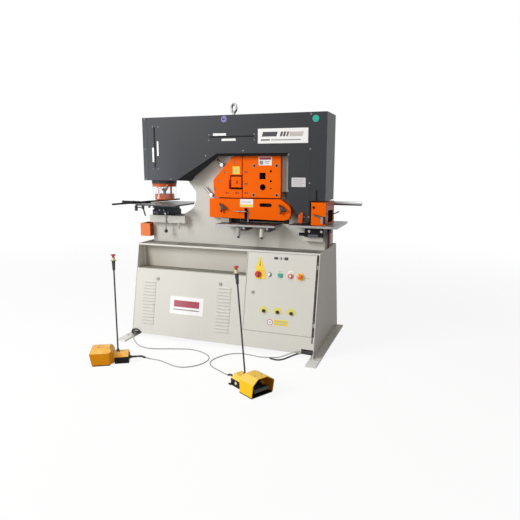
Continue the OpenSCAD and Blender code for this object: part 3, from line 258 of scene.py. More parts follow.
def gland(name, base, tip, thick=0.009, thin=0.0065, flange=0.012):
    """Moulded strain relief: a flange, then ribs that grow thinner towards the cable."""
    base, tip = Vector(base), Vector(tip)
    marks = [(0.0, flange - 0.0008), (0.02, flange), (0.15, flange), (0.18, flange - 0.001), (0.19, thick)]
    for k in range(6):
        at = 0.24 + 0.12 * k
        r = thick + (thin - thick) * at
        marks += [(at, r), (at + 0.03, r - 0.001), (at + 0.05, r - 0.001), (at + 0.08, r - 0.0004)]
    marks += [(1.0, thin)]
    bm = bmesh.new()
    tube(bm, [base.lerp(tip, s) for s, _ in marks], [r for _, r in marks], 20)
    piece = finished(name, bm, gland_rubber, "machine", sharp=50)
    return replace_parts(piece, "cable_glands")


for side, route, seat, flange in (("left", left_route, (-0.735, -0.371, 0.0347), 0.0085),
                                  ("right", right_route, (side_wall, -0.42, 0.058), 0.0078)):
    heading = math.radians(pedal_headings[side])
    pedal_end = Vector(route[0]) + gland_l * Vector((math.cos(heading), math.sin(heading), 0))
    glands = [gland(f"{side}_pedal_gland", pedal_end, route[0]),
              gland(f"{side}_cabinet_gland", seat, route[-1], 0.0078, 0.006, flange)]
    smooth = above_floor(through(route, 6), cable_r)
    sleeve = [smooth[0].lerp(smooth[1], k / 6) for k in range(7)] + smooth[2:14]
    bm = bmesh.new()
    tube(bm, sleeve, [sleeve_r - 0.0006] + [sleeve_r] * (len(sleeve) - 2) + [sleeve_r - 0.001], 16)
    finished(f"{side}_cable_sleeve", bm, gland_rubber, "machine")
    bm = bmesh.new()
    tube(bm, smooth, [cable_r] * len(smooth), 14)
    lead = finished(f"{side}_control_cable", bm, cable_grey, "machine")
    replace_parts(lead, f"cable_{side}")

black_sheath = coated("black_cable_sheath", (0.012, 0.012, 0.013), drift=0.1, drift_scale=9.0, roughness=0.5,
                      bump_scale=900.0, bump_height=0.00003, edge_radius=0.0002)
tail_y, tail_z = -0.392, 0.036
tail = through([(0.700, tail_y, tail_z), (0.670, -0.396, 0.034), (0.630, -0.410, 0.022),
                (0.592, -0.440, 0.009), (0.560, -0.490, 0.0048), (0.530, -0.512, 0.0046),
                (0.490, -0.508, 0.0046), (0.468, -0.500, 0.0046)], 6)
bm = bmesh.new()
tube(bm, above_floor(tail, tail_r + 0.0002), [tail_r] * len(tail), 14)
tube(bm, [(side_wall - inset, tail_y, tail_z) for inset in (0.0002, 0.0110, 0.0115, 0.0668)],
     [0.0125, 0.0125, 0.0095, 0.0072], 18)
finished("earth_cable_tail", bm, black_sheath, "machine", sharp=50)

lean = math.atan(0.20557)
rim_z, rim_y = 0.766, -0.268


def on_slope(x, z, depth=0.0):
    """Place on the cabinet's sloping front: X across, Y up the slope, Z out of the sheet."""
    up = Vector((0, math.sin(lean), math.cos(lean)))
    out = Vector((0, -math.cos(lean), math.sin(lean)))
    base = Vector((x, rim_y - (rim_z - z) * math.tan(lean), z)) - out * depth
    return Matrix.Translation(base) @ Matrix((Vector((1, 0, 0)), up, out)).transposed().to_4x4()


loop_w, loop_h, loop_r = 0.035, 0.021, 0.0065
bends = [math.radians(12 * k) for k in range(-2, 19)]
loop_middle = on_slope(-0.733, 0.045, -0.007)
loop = [loop_middle @ Vector((loop_w * math.cos(a), loop_h * math.sin(a), 0)) for a in bends]
loop = [loop[0] + Vector((0.003, 0.009, -0.003))] + loop + [loop[-1] + Vector((-0.001, 0.009, -0.004))]
bm = bmesh.new()
tube(bm, loop, [loop_r] * len(loop), 14)
finished("left_cable_loop", bm, black_sheath, "machine", sharp=50)


# ---- Base cabinet ----
# A welded box of folded and plate steel on two foot plates, sprayed in light grey enamel. The
# tray in its top is darkened by oil and painted shade, and the open shelf by painted shade.
def paint(names, material):
    """Gives CAD nodes their material; the piece keeps the shape of its solid."""
    for name in names:
        cad[name].data.materials.clear()
        cad[name].data.materials.append(material)
        for face in cad[name].data.polygons:
            face.material_index = 0


def variant(material, name):
    """A copy of a finish under its own name, with its node tree, to lay masks on."""
    copy = material.copy()
    copy.name = name
    return copy, copy.node_tree


def masked(material, mask, colour):
    """Lays a second colour over what the base colour already shows, where the mask is one."""
    tree = material.node_tree
    base = tree.nodes["Principled BSDF"].inputs["Base Color"]
    tree.links.new(mixed(tree, mask, base.links[0].from_socket, (*colour, 1)), base)


def inside(tree, vector, lo, hi):
    """A mask that is one within the box between two corners."""
    parts, mask = put(tree, "SeparateXYZ", {0: vector}).outputs, 1.0
    for part, low, high in zip(parts, lo, hi):
        mask = sums(tree, "MULTIPLY", mask, sums(tree, "GREATER_THAN", part, low))
        mask = sums(tree, "MULTIPLY", mask, sums(tree, "LESS_THAN", part, high))
    return mask


def at_rest(tree):
    """Where a point of the piece lies in the machine, as it stands at rest."""
    return put(tree, "TexCoord").outputs["Object"]


def within(tree, lo, hi):
    """A mask that is one within a box of the machine, as it stands at rest."""
    return inside(tree, at_rest(tree), lo, hi)


def facing(tree):
    """The surface's own direction, as three sockets."""
    return put(tree, "SeparateXYZ", {0: put(tree, "NewGeometry").outputs["Normal"]}).outputs


def band(tree, value, low, high):
    """A mask that rises from zero at low to one at high."""
    return put(tree, "MapRange", {"Value": value}, {"From Min": low, "From Max": high}).outputs[0]


def product(tree, first, *others):
    """Masks and shares multiplied with each other."""
    for other in others:
        first = sums(tree, "MULTIPLY", first, other)
    return first


def outside(tree, mask):
    """A mask that is one where the given mask is zero."""
    return sums(tree, "SUBTRACT", 1.0, mask)


tray_z = 0.756
shelf_lo, shelf_hi = (-0.75, -0.31, 0.50), (0.77, 0.4, 0.745)
door_right = 0.750
grey_enamel = coated("light_grey_enamel", (0.665, 0.66, 0.61), (0.62, 0.61, 0.56), edge_share=0.35,
                     specular=0.12, drift=0.035, drift_scale=2.2, roughness=0.42, rough_drift=0.12,
                     bump_scale=420.0, bump_height=0.00006, edge_radius=0.002)
cabinet_enamel, tree = variant(grey_enamel, "cabinet_enamel")
where = put(tree, "SeparateXYZ", {0: at_rest(tree)}).outputs
lying = band(tree, facing(tree)[2], 0.75, 0.95)

# Oil and scale lie in the tray, up to the rim that keeps them in; the tray's darkening is partly painted shade.
below_rim = outside(tree, band(tree, where[2], tray_z + 0.002, rim_z - 0.001))
oil = put(tree, "TexNoise", {}, {"Scale": 6.0, "Detail": 5.0}).outputs[0]
tray_oil_and_shade = product(tree, lying, band(tree, where[2], 0.5, 0.56), below_rim, band(tree, oil, 0.1, 0.55), 0.95)
masked(cabinet_enamel, tray_oil_and_shade, (0.13, 0.13, 0.105))

# Painted shade darkens the open shelf inside, most at its left end and on its floor.
shelf = product(tree, within(tree, shelf_lo, shelf_hi), band(tree, facing(tree)[1], 0.6, 0.3))
to_left = band(tree, where[0], -0.45, -0.75)
shelf_shade = product(tree, shelf, sums(tree, "ADD", 0.30, product(tree, to_left, 0.45)))
masked(cabinet_enamel, shelf_shade, (0.37, 0.325, 0.26))
masked(cabinet_enamel, product(tree, shelf, lying, 0.8), (0.15, 0.155, 0.125))

# Painted shade makes the right side darker and warmer; the foot plates' fronts are paler.
shaded_right_side = product(tree, band(tree, facing(tree)[0], 0.6, 0.9),
                     within(tree, (0.70, -0.6, 0.01), (0.80, 0.6, 0.78)))
masked(cabinet_enamel, product(tree, shaded_right_side, 0.55), (0.50, 0.44, 0.39))
masked(cabinet_enamel, within(tree, (-0.9, -0.62, -0.01), (0.9, -0.44, 0.03)), (0.80, 0.79, 0.76))

# Painted shade darkens the gap along the door's hinges.
door_gap_shade = product(tree, within(tree, (door_right + 0.0005, -0.5, 0.12), (door_right + 0.0125, -0.2, 0.757)),
                   band(tree, facing(tree)[1], -0.90, -0.99))
masked(cabinet_enamel, door_gap_shade, (0.12, 0.095, 0.08))
paint(["base_cabinet"], cabinet_enamel)


# ---- Louvred panel ----
# Folded sheet with two columns of pressed louvres, held by quarter-turn locks with a zinc head.
# A plain white plate with a crimson and a grey bar is glued in its middle.
def disc(bm, place, profile, sides=32, slot=0):
    """A turned part: (radius, height) pairs from its seat outward along the place's Z."""
    points = [place @ Vector((0, 0, h)) for _, h in profile]
    side, up = (place.to_3x3() @ Vector(v) for v in ((1, 0, 0), (0, 1, 0)))
    rings = []
    for point, (radius, _) in zip(points, profile):
        rings.append(ring_of(bm, point, radius, side, up, sides) if radius else [bm.verts.new(point)])
    made = []
    for low, high in zip(rings, rings[1:]):
        for k in range(sides):
            corners = [low[k % len(low)], low[(k + 1) % len(low)]]
            corners += [high[(k + 1) % len(high)], high[k % len(high)]]
            made.append(bm.faces.new(list(dict.fromkeys(corners))))
    for ring in (rings[0], rings[-1]):
        if len(ring) > 1:
            made.append(bm.faces.new(ring))
    for face in made:
        face.material_index = slot


def slab(bm, lo, hi, place=None, edge=0.001, slot=0, segments=2):
    """A box with rounded edges between two corners, in the given place."""
    lo, hi = Vector(lo), Vector(hi)
    made = bmesh.ops.create_cube(bm, size=1.0)["verts"]
    for v in made:
        v.co = Vector(((lo[i] + hi[i]) / 2 + v.co[i] * (hi[i] - lo[i]) for i in range(3)))
    edges = list({e for v in made for e in v.link_edges})
    if edge:
        bevel = bmesh.ops.bevel(bm, geom=edges, offset=edge, segments=segments, affect="EDGES")
        made = list({v for f in bevel["faces"] for v in f.verts} | {v for v in made if v.is_valid})
    if place is not None:
        for v in made:
            v.co = place @ v.co
    for face in {f for v in made for f in v.link_faces}:
        face.material_index = slot


def outline(bm, place, points, thick, slot=0):
    """A flat plate of the given outline, with its back on the place's plane."""
    low = [bm.verts.new(place @ Vector((x, y, 0))) for x, y in points]
    high = [bm.verts.new(place @ Vector((x, y, thick))) for x, y in points]
    n = len(points)
    made = [bm.faces.new(list(reversed(low))), bm.faces.new(high)]
    made += [bm.faces.new((low[k], low[(k + 1) % n], high[(k + 1) % n], high[k])) for k in range(n)]
    for face in made:
        face.material_index = slot


def rounded(bm, place, x0, y0, x1, y1, thick, corner, slot=0, steps=4):
    """A flat plate with rounded corners."""
    points = []
    for cx, cy, start in ((x1 - corner, y0 + corner, -90), (x1 - corner, y1 - corner, 0),
                          (x0 + corner, y1 - corner, 90), (x0 + corner, y0 + corner, 180)):
        for k in range(steps + 1):
            a = math.radians(start + 90 * k / steps)
            points.append((cx + corner * math.cos(a), cy + corner * math.sin(a)))
    outline(bm, place, points, thick, slot)


def sticker(name, place, plate, fields, body="machine", corner=0.004, thick=0.0006):
    """A printed plate or foil. The plate is its width, height and stock; the fields that lie on it
    are bars, discs and outlines of plain colour."""
    bm = bmesh.new()
    width, height, stock = plate
    stocks, film = [stock], 0.0002
    rounded(bm, place, -width / 2, -height / 2, width / 2, height / 2, thick, corner)
    place = place @ Matrix.Translation((0, 0, thick))
    for shape, stock, *numbers in fields:
        if stock not in stocks:
            stocks.append(stock)
        k = stocks.index(stock)
        if shape == "bar":
            x0, y0, x1, y1, *bend = numbers
            rounded(bm, place, x0, y0, x1, y1, film, bend[0] if bend else 0.0006, k)
        elif shape == "disc":
            x, y, r = numbers
            disc(bm, place @ Matrix.Translation((x, y, 0)), [(0, 0), (r, 0), (r, film), (0, film)], 32, k)
        else:
            outline(bm, place, numbers, film, k)
    return finished(name, bm, stocks, body)


def cut_foil(name, place, stock, fields, thick, body="machine"):
    """A foil cut out round its print: its fields cover a plate of one millimetre."""
    return sticker(name, place, (0.001, 0.001, stock), fields, body, corner=0.0003, thick=thick)


def ink(name, colour):
    """Screen-printed or dyed foil."""
    return coated(name, colour, drift=0.03, drift_scale=40.0, roughness=0.35, coat=0.15, bump_scale=1200.0,
                  bump_height=0.00001, edge_radius=0.0002)


def screw_metal(name, colour, **values):
    """Plated or oiled steel of screws, locks and their washers."""
    return coated(name, colour, drift=0.2, drift_scale=160.0, bump_scale=900.0, bump_height=0.00003,
                  edge_radius=0.0006, **values)


white_foil = ink("white_foil", (0.84, 0.84, 0.83))
crimson_ink = ink("crimson_ink", (0.32, 0.006, 0.045))
grey_ink = ink("grey_ink", (0.22, 0.21, 0.22))
black_ink = ink("black_ink", (0.022, 0.022, 0.025))
yellow_foil = ink("yellow_foil", (0.83, 0.62, 0.03))
paint(["front_panel"], grey_enamel)
sticker("panel_plate", on_slope(-0.284, 0.2935, -0.0003), (0.297, 0.141, white_foil),
        [("bar", crimson_ink, -0.115, -0.013, 0.112, 0.040, 0.003),
         ("bar", grey_ink, -0.118, -0.038, 0.112, -0.029, 0.002)], corner=0.006, thick=0.0016)
# The lock heads' slots are dark bars: painted shade for the recess.
slot_shade = coated("slot_painted_shade", (0.012, 0.011, 0.01), drift=0.1, roughness=0.8, edge_radius=0.0002)
lock_zinc = screw_metal("lock_head_zinc", (0.34, 0.34, 0.33), metallic=0.4, specular=0.3, roughness=0.42)
lock_z = 0.489
for side, x in (("left", -0.564), ("right", -0.004)):
    bm = bmesh.new()
    seat = on_slope(x, lock_z, -0.005)
    disc(bm, seat, [(0, 0), (0.0135, 0), (0.0135, 0.001), (0.0125, 0.002), (0.0115, 0.002), (0.011, 0.0006),
                    (0, 0.0006)])
    disc(bm, seat @ Matrix.Translation((0, 0, 0.0004)), [(0, 0), (0.009, 0), (0.009, 0.0022), (0.008, 0.003),
                                                         (0, 0.003)])
    slab(bm, (-0.0012, -0.006, 0.0028), (0.0012, 0.006, 0.0036), seat, 0.0003, 1)
    finished(f"panel_lock_{side}", bm, [lock_zinc, slot_shade], "machine")

# ---- Inside the cabinet ----
# Pump set of tank, finned motor and gear pump, in two-pack grey; the switchgear is clipped to
# rails on a zinc-plated plate behind the door.
pump_grey = coated("motor_grey_enamel", (0.15, 0.17, 0.19), (0.3, 0.31, 0.33), edge_share=0.5, drift=0.06,
                   roughness=0.5, bump_scale=300.0, bump_height=0.0001, edge_radius=0.003)
gear_plate = coated("switchgear", (0.5, 0.51, 0.5), (0.6, 0.6, 0.6), edge_share=0.3, drift=0.1,
                    drift_scale=20.0, roughness=0.45, bump_scale=500.0, bump_height=0.00004,
                    edge_radius=0.0015)
paint(["power_pack"], pump_grey)
paint(["component_plate"], gear_plate)


# ---- Door ----
# Folded sheet door on two pin hinges, with a cylinder lock. The switches' moulded caps, collars
# and legend plates and the printed foils are fitted to its outer face, and swing with it.
def middle(name):
    """The middle of a solid's box."""
    lo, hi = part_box(name)
    return (lo + hi) / 2


def switch_cap(name, colour, edge_colour, **values):
    """Glossy moulded plastic of a switch's cap."""
    return coated(name, colour, edge_colour, edge_share=0.3, drift=0.05, coat=0.3, coat_rough=0.12,
                  bump_scale=2000.0, bump_height=0.00002, **values)


# Painted shade darkens the door's edge along its hinges.
door_enamel, tree = variant(grey_enamel, "door_enamel")
hinge_gap_shade = within(tree, (door_right - 0.0005, -0.5, 0.1), (door_right + 0.02, -0.2, 0.8))
masked(door_enamel, hinge_gap_shade, (0.10, 0.08, 0.068))
paint(["door"], door_enamel)
dull_zinc = screw_metal("lock_zinc", (0.26, 0.26, 0.25), metallic=0.5, specular=0.3, roughness=0.42)
paint(["door_lock"], dull_zinc)
black_plastic = coated("black_moulding", (0.02, 0.02, 0.022), (0.05, 0.05, 0.055), edge_share=0.4, drift=0.1,
                       drift_scale=40.0, roughness=0.42, bump_scale=2200.0, bump_height=0.00003,
                       edge_radius=0.0008)
red_plastic = switch_cap("red_moulding", (0.56, 0.022, 0.010), (0.7, 0.08, 0.05), drift_scale=30.0,
                         roughness=0.3, edge_radius=0.0012)
signal_red = switch_cap("signal_red_moulding", (0.92, 0.13, 0.02), (0.95, 0.25, 0.1), drift_scale=30.0,
                        roughness=0.28, edge_radius=0.0015)
green_plastic = switch_cap("green_moulding", (0.02, 0.36, 0.27), (0.1, 0.5, 0.4), roughness=0.28,
                           edge_radius=0.001)
turquoise = coated("turquoise_collar", (0.09, 0.52, 0.46), (0.2, 0.6, 0.55), edge_share=0.3, drift=0.05,
                   roughness=0.35, edge_radius=0.0006)
yellow_plastic = coated("yellow_moulding", (0.86, 0.60, 0.03), (0.9, 0.7, 0.15), edge_share=0.3, drift=0.05,
                        roughness=0.35, coat=0.2, bump_scale=2000.0, bump_height=0.00002, edge_radius=0.0008)
milk_white = coated("milk_lens", (0.86, 0.87, 0.86), drift=0.02, roughness=0.2, coat=0.4, coat_rough=0.05,
                    edge_radius=0.001)
pale_red = coated("stop_collar_moulding", (0.62, 0.20, 0.17), (0.7, 0.3, 0.25), drift=0.05, roughness=0.35,
                  edge_radius=0.0006)
dull_olive = ink("olive_tag", (0.50, 0.49, 0.30))
olive_yellow = ink("olive_yellow", (0.72, 0.66, 0.16))
pale_tag = ink("pale_tag", (0.66, 0.65, 0.56))

button_z = 0.590
pilot_x = 0.393
start_x, stop_x, estop_x = (middle(name).x for name in ("start_button", "stop_button", "door_estop"))
sign_x, sign_z = 0.423, 0.240
cut_foil("hazard_triangle", on_slope(0.3135, 0.6685), yellow_foil,
         [("outline", yellow_foil, (-0.041, -0.048), (0.041, -0.048), (0.0025, 0.050), (-0.0025, 0.050)),
          ("outline", black_ink, (-0.004, -0.02), (0.004, -0.02), (0.0015, 0.018), (-0.0015, 0.018))],
         0.0002, "door")
sticker("main_switch_plate", on_slope(0.3225, 0.5865), (0.078, 0.070, yellow_plastic),
        [("bar", black_ink, -0.030, 0.028, 0.030, 0.0295)], "door", thick=0.002)
sticker("door_marks", on_slope(0.477, 0.7135), (0.112, 0.022, grey_enamel),
        [("bar", black_ink, -0.055, -0.009, -0.024, 0.009), ("bar", grey_ink, -0.018, -0.003, -0.010, 0.003),
         ("bar", black_ink, -0.004, -0.010, 0.005, 0.010), ("bar", grey_ink, 0.010, -0.003, 0.018, 0.003),
         ("bar", black_ink, 0.026, -0.0108, 0.0555, 0.0108)], "door", corner=0.002, thick=0.0002)
for name, plate_stock, stock, radius, lift, thick in (
        ("door_round_sign", white_foil, crimson_ink, 0.0225, 0, 0.0002),
        ("door_round_sign_face", white_foil, white_foil, 0.0185, 0.0004, 0.0001),
        ("door_round_sign_dot", grey_ink, grey_ink, 0.006, 0.0005, 0.0002)):
    cut_foil(name, on_slope(sign_x, sign_z, -lift), plate_stock, [("disc", stock, 0, 0, radius)], thick,
             "door")
sticker("door_yellow_label", on_slope(sign_x + 0.085, sign_z + 0.003), (0.114, 0.044, yellow_foil),
        [("bar", dull_olive, -0.048, 0.004, 0.048, 0.014),
         ("bar", dull_olive, -0.048, -0.014, 0.042, -0.004)], "door", corner=0.003, thick=0.0003)


def collar(name, x, material, outer, inner, height):
    """A ring round a switch, moulded with a rounded shoulder."""
    bm = bmesh.new()
    disc(bm, on_slope(x, button_z), [(inner, 0), (outer, 0), (outer, height * 0.6), (outer - 0.0012, height),
                                     (inner + 0.0008, height), (inner, height * 0.8), (inner, 0)], 40)
    finished(name, bm, material, "door")


collar("pilot_ring", pilot_x, black_plastic, 0.0165, 0.0128, 0.0062)
collar("start_collar", start_x, turquoise, 0.0205, 0.0158, 0.0075)
collar("stop_collar", stop_x, pale_red, 0.0205, 0.0158, 0.0075)
collar("estop_collar", estop_x, yellow_plastic, 0.028, 0.0165, 0.006)
for name, x, stock, height in (("start_plate", start_x, pale_tag, 0.030),
                               ("stop_plate", stop_x, white_foil, 0.044)):
    sticker(name, on_slope(x, button_z + 0.018), (0.040, height, stock),
            [("bar", grey_ink, -0.015, 0.010, 0.015, 0.012)], "door", corner=0.010, thick=0.0012)
sticker("estop_tag", on_slope(estop_x + 0.056, button_z - 0.006), (0.064, 0.014, pale_tag),
        [("bar", dull_olive, -0.028, -0.003, 0.020, 0.003)], "door", corner=0.003)
bm = bmesh.new()
disc(bm, on_slope(pilot_x, button_z, -0.0088), [(0, 0), (0.0122, 0), (0.0122, 0.0012), (0.010, 0.0032),
                                                (0.006, 0.0042), (0, 0.0046)])
finished("pilot_lens", bm, milk_white, "door", sharp=60)
for side, x in (("left", 0.368), ("middle", 0.477), ("right", 0.584)):
    seat = on_slope(x, 0.319)
    crown = [math.radians(a) for a in range(-10, 191, 10)]
    bm = bmesh.new()
    outline(bm, seat, [(-0.030, -0.010), (0.030, -0.010)]
            + [(0.037 * math.cos(a), 0.004 + 0.032 * math.sin(a)) for a in crown], 0.0012)
    for angle in (35, 62, 90, 118, 145):
        tick = Matrix.Rotation(math.radians(angle - 90), 4, "Z") @ Matrix.Translation((0, 0.0275, 0.0012))
        rounded(bm, seat @ tick, -0.0012, -0.003, 0.0012, 0.003, 0.0002, 0.0005, 1)
    finished(f"selector_plate_{side}", bm, [olive_yellow, dull_olive], "door")
paint(["selector_left", "selector_middle", "selector_right"], black_plastic)
paint(["main_switch", "stop_button"], red_plastic)
paint(["start_button"], green_plastic)
paint(["door_estop"], signal_red)
bm = bmesh.new()
disc(bm, on_slope(stop_x, button_z, -0.0119), [(0, 0), (0.0085, 0), (0.0080, 0.0005), (0, 0.0006)], 28)
finished("stop_button_inlay", bm, milk_white, "stop_button")


# ---- Frame ----
# Two flame-cut plates with fillers, welded into a C and painted like the cabinet. Its edges keep
# a little of the saw's and torch's roughness under the paint. The pin and the rods in it are
# turned bright, the tools are oiled tool steel, and the beam is made near-black as painted shade.
frame_enamel = coated("frame_enamel", (0.61, 0.60, 0.555), (0.5, 0.48, 0.42), edge_share=0.4,
                      specular=0.15, drift=0.07, drift_scale=3.5, roughness=0.48, rough_drift=0.15,
                      bump_scale=160.0, bump_height=0.00014, edge_radius=0.0025)
plate_enamel, tree = variant(frame_enamel, "frame_plate_enamel")
where = put(tree, "SeparateXYZ", {0: at_rest(tree)}).outputs

# A painted shadow darkens the plate along the slanting cut of the cover, and painted shade blackens it round
# the shears.
cut_x, cut_z = 0.591, 0.982
square_x, square_z = 0.831, 0.556
from_cut = sums(tree, "ADD", product(tree, sums(tree, "SUBTRACT", cut_x, where[0]), square_x),
                product(tree, sums(tree, "SUBTRACT", cut_z, where[2]), square_z))
cover_shadow = product(tree, band(tree, from_cut, 0.10, 0.02),
                   within(tree, (0.40, -0.062, 0.955), (0.66, -0.05, 1.20)), 0.95)
masked(plate_enamel, cover_shadow, (0.05, 0.032, 0.022))
for lo, hi in (((-0.12, -0.062, 1.0), (0.405, 0.1, 1.30)), ((-0.02, -0.062, 1.29), (0.405, 0.1, 1.465)),
               ((-0.02, -0.062, 0.949), (0.47, -0.05, 1.01))):
    masked(plate_enamel, within(tree, lo, hi), (0.02, 0.014, 0.011))

# Painted shade darkens its right end, under the notcher's table.
right_end_shade = product(tree, band(tree, facing(tree)[0], 0.4, 0.8), band(tree, where[2], 0.76, 0.86),
                    within(tree, (0.6, -0.2, 0.7), (0.8, 0.2, 0.97)))
masked(plate_enamel, right_end_shade, (0.05, 0.042, 0.038))
paint(["frame"], plate_enamel)
paint(["punch_cylinder", "shear_cylinder"], frame_enamel)
bright_steel = coated("turned_steel", (0.56, 0.56, 0.565), metallic=1.0, drift=0.12, drift_scale=60.0,
                      roughness=0.3, rough_drift=0.15, bump_scale=700.0, bump_height=0.00002,
                      edge_radius=0.0008, stretch=(1, 1, 6))
tool_steel = coated("oiled_tool_steel", (0.16, 0.155, 0.155), (0.4, 0.39, 0.38), edge_share=0.6, metallic=1.0,
                    drift=0.15, drift_scale=50.0, roughness=0.38, rough_drift=0.2, bump_scale=500.0,
                    bump_height=0.00003, edge_radius=0.001)
# The beam's near-black colour is painted shade for the inside of the frame's openings.
beam_shade_black = coated("shade_black_beam", (0.03, 0.027, 0.025), (0.1, 0.09, 0.085), edge_share=0.4, metallic=0.3,
                    specular=0.3, drift=0.2, drift_scale=30.0, roughness=0.6, rough_drift=0.2,
                    bump_scale=400.0, bump_height=0.00006, edge_radius=0.001)
paint(["main_pin", "punch_ram", "shear_rod"], bright_steel)
paint(["punch", "die"], tool_steel)
paint(["shear_beam"], beam_shade_black)


# ---- Covers ----
# Folded sheet in anthracite enamel: one wraps the ends, top and back, the other closes the front
# and is held by dome-head screws. White scales and black pointer rods show the strokes at its
# slots, bare plates and coloured discs are glued on; a rubber seal, partly painted shade, lines its sloping
# edge.
def on_face(x, z, y):
    """Place on an upright face that looks at the operator: X across, Y up, Z out of it."""
    return Matrix.Translation((x, y, z)) @ Matrix.Rotation(math.radians(90), 4, "X")


anthracite = coated("anthracite_enamel", (0.020, 0.0215, 0.026), (0.13, 0.135, 0.145), edge_share=0.35,
                    specular=0.28, drift=0.06, drift_scale=2.0, roughness=0.46, rough_drift=0.1,
                    bump_scale=380.0, bump_height=0.00007, edge_radius=0.0018)
tree = anthracite.node_tree
where = put(tree, "SeparateXYZ", {0: at_rest(tree)}).outputs

# A painted sheen makes the coat paler towards the lower left; dark joints lie where the two covers meet.
painted_sheen = product(tree, band(tree, where[0], -0.42, -0.745), band(tree, where[2], 1.80, 1.30), 0.8)
masked(anthracite, painted_sheen, (0.062, 0.070, 0.090))
for left, right, low in ((-0.7275, -0.7245, 1.25), (0.6515, 0.6535, 0.97)):
    masked(anthracite, within(tree, (left, -0.15, low), (right, -0.14, 1.79)), (0.006, 0.006, 0.008))
paint(["wrap_cover", "front_cover", "ram_housing"], anthracite)
cover_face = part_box("front_cover")[0].y
edge_screws = [(-0.746, 1.768), (-0.749, 1.530), (-0.754, 1.288), (-0.519, 1.290), (-0.199, 1.475),
               (0.120, 1.511), (0.486, 1.479), (0.650, 1.519), (0.650, 1.271), (0.485, 1.209),
               (0.653, 1.767), (0.611, 1.018), (0.648, 1.019)]
slot_screws = [(-0.675, 1.709), (-0.625, 1.706), (-0.682, 1.370), (-0.633, 1.370), (-0.169, 1.634),
               (-0.170, 1.592), (0.213, 1.633), (0.213, 1.591)]
bm = bmesh.new()
for r, places in ((0.0052, edge_screws), (0.0045, slot_screws)):
    for x, z in places:
        disc(bm, on_face(x, z, cover_face),
             [(0, -0.001), (r * 1.35, -0.001), (r * 1.35, 0.0008), (r, 0.001), (r, 0.0022),
              (r * 0.8, 0.0036), (r * 0.45, 0.0043), (r * 0.4, 0.0026), (0, 0.0026)], 20)
dull_screw = screw_metal("dull_screw", (0.23, 0.24, 0.26), metallic=0.2, specular=0.3, roughness=0.45)
finished("cover_screws", bm, dull_screw, "machine")


def slot_scale(name, x0, x1, z0, z1):
    """A white strip beside a slot of the front cover, with a short line at each step."""
    lines = []
    for k in range(9):
        step, line = -0.05 + 0.0125 * k, 0.006 if k % 2 else 0.009
        reach = (-0.0055, step, line - 0.0055, step + 0.0008)
        if x1 - x0 > z1 - z0:
            reach = (step, -0.0055, step + 0.0008, line - 0.0055)
        lines.append(("bar", grey_ink, *reach, 0.0003))
    sticker(name, on_face((x0 + x1) / 2, (z0 + z1) / 2, cover_face), (x1 - x0, z1 - z0, white_foil), lines,
            corner=0.001, thick=0.0008)


slot_scale("stroke_scale_upper", -0.640, -0.6255, 1.477, 1.593)
slot_scale("stroke_scale_lower", -0.685, -0.6695, 1.428, 1.544)
slot_scale("shear_scale_left", -0.133, -0.022, 1.627, 1.645)
slot_scale("shear_scale_right", -0.060, 0.058, 1.587, 1.604)
dull_black = coated("dull_black_steel", (0.010, 0.010, 0.011), (0.06, 0.06, 0.06), edge_share=0.3,
                    specular=0.12, drift=0.15, drift_scale=40.0, roughness=0.55, bump_scale=500.0,
                    bump_height=0.00003, edge_radius=0.0012)
for name, x0, x1, z0, z1 in (("punch", -0.6675, -0.6545, 1.386, 1.702),
                             ("shear", -0.158, 0.206, 1.6145, 1.6225)):
    bm = bmesh.new()
    slab(bm, (x0, cover_face + 0.0035, z0), (x1, cover_face + 0.0075, z1), edge=0.0006)
    slab(bm, (x0 - 0.001, cover_face - 0.0009, z0 - 0.001), (x1 + 0.001, cover_face - 0.0002, z1 + 0.001),
         edge=0.0002)
    finished(f"{name}_stroke_rod", bm, dull_black, "machine")
violet_ink = ink("violet_ink", (0.17, 0.13, 0.40))
light_violet = ink("light_violet", (0.42, 0.40, 0.60))
teal_ink = ink("teal_ink", (0.005, 0.40, 0.29))
brown_ink = ink("brown_ink", (0.19, 0.125, 0.11))
pale_brown_ink = ink("pale_brown_ink", (0.36, 0.27, 0.25))
silver_foil = ink("silver_foil", (0.62, 0.60, 0.62))
dot_r = 0.0245
cut_foil("violet_dot", on_face(-0.039, 1.751, cover_face), violet_ink,
         [("disc", violet_ink, 0, 0, dot_r), ("bar", light_violet, -0.015, -0.0035, 0.004, 0.0035, 0.003),
          ("bar", light_violet, 0.006, -0.0025, 0.014, 0.0025, 0.002)], 0.0004)
cut_foil("teal_dot", on_face(0.687, 1.735, cover_face), teal_ink, [("disc", teal_ink, 0, 0, dot_r)],
         0.0004)
fields = [("outline", black_ink, (-0.165, -0.004), (-0.048, -0.004), (-0.038, 0.030), (-0.155, 0.030))]
for x, stock in ((-0.022, black_ink), (0.002, black_ink), (0.026, brown_ink)):
    fields.append(("outline", stock, (x, -0.004), (x + 0.016, -0.004), (x + 0.026, 0.030),
                   (x + 0.010, 0.030)))
for k in range(4):
    low, right = -0.004 + 0.0085 * k, 0.152 + 0.003 * k
    fields.append(("outline", pale_brown_ink, (0.052, low), (right, low), (right + 0.0015, low + 0.005),
                   (0.0535, low + 0.005)))
fields += [("bar", black_ink, -0.172, -0.034, -0.100, -0.024, 0.002),
           ("bar", grey_ink, -0.090, -0.033, 0.140, -0.026, 0.002)]
sticker("cover_nameplate", on_face(0.437, 1.6175, cover_face), (0.392, 0.109, white_foil), fields,
        thick=0.0015)
fields = []
for low, right in ((0.018, 0.045), (0.005, 0.033), (-0.008, 0.045), (-0.021, 0.033)):
    fields.append(("bar", grey_ink, -0.045, low, right, low + 0.0025, 0.0005))
sticker("cover_data_plate", on_face(0.5655, 1.2765, cover_face), (0.109, 0.069, silver_foil), fields,
        corner=0.003, thick=0.001)
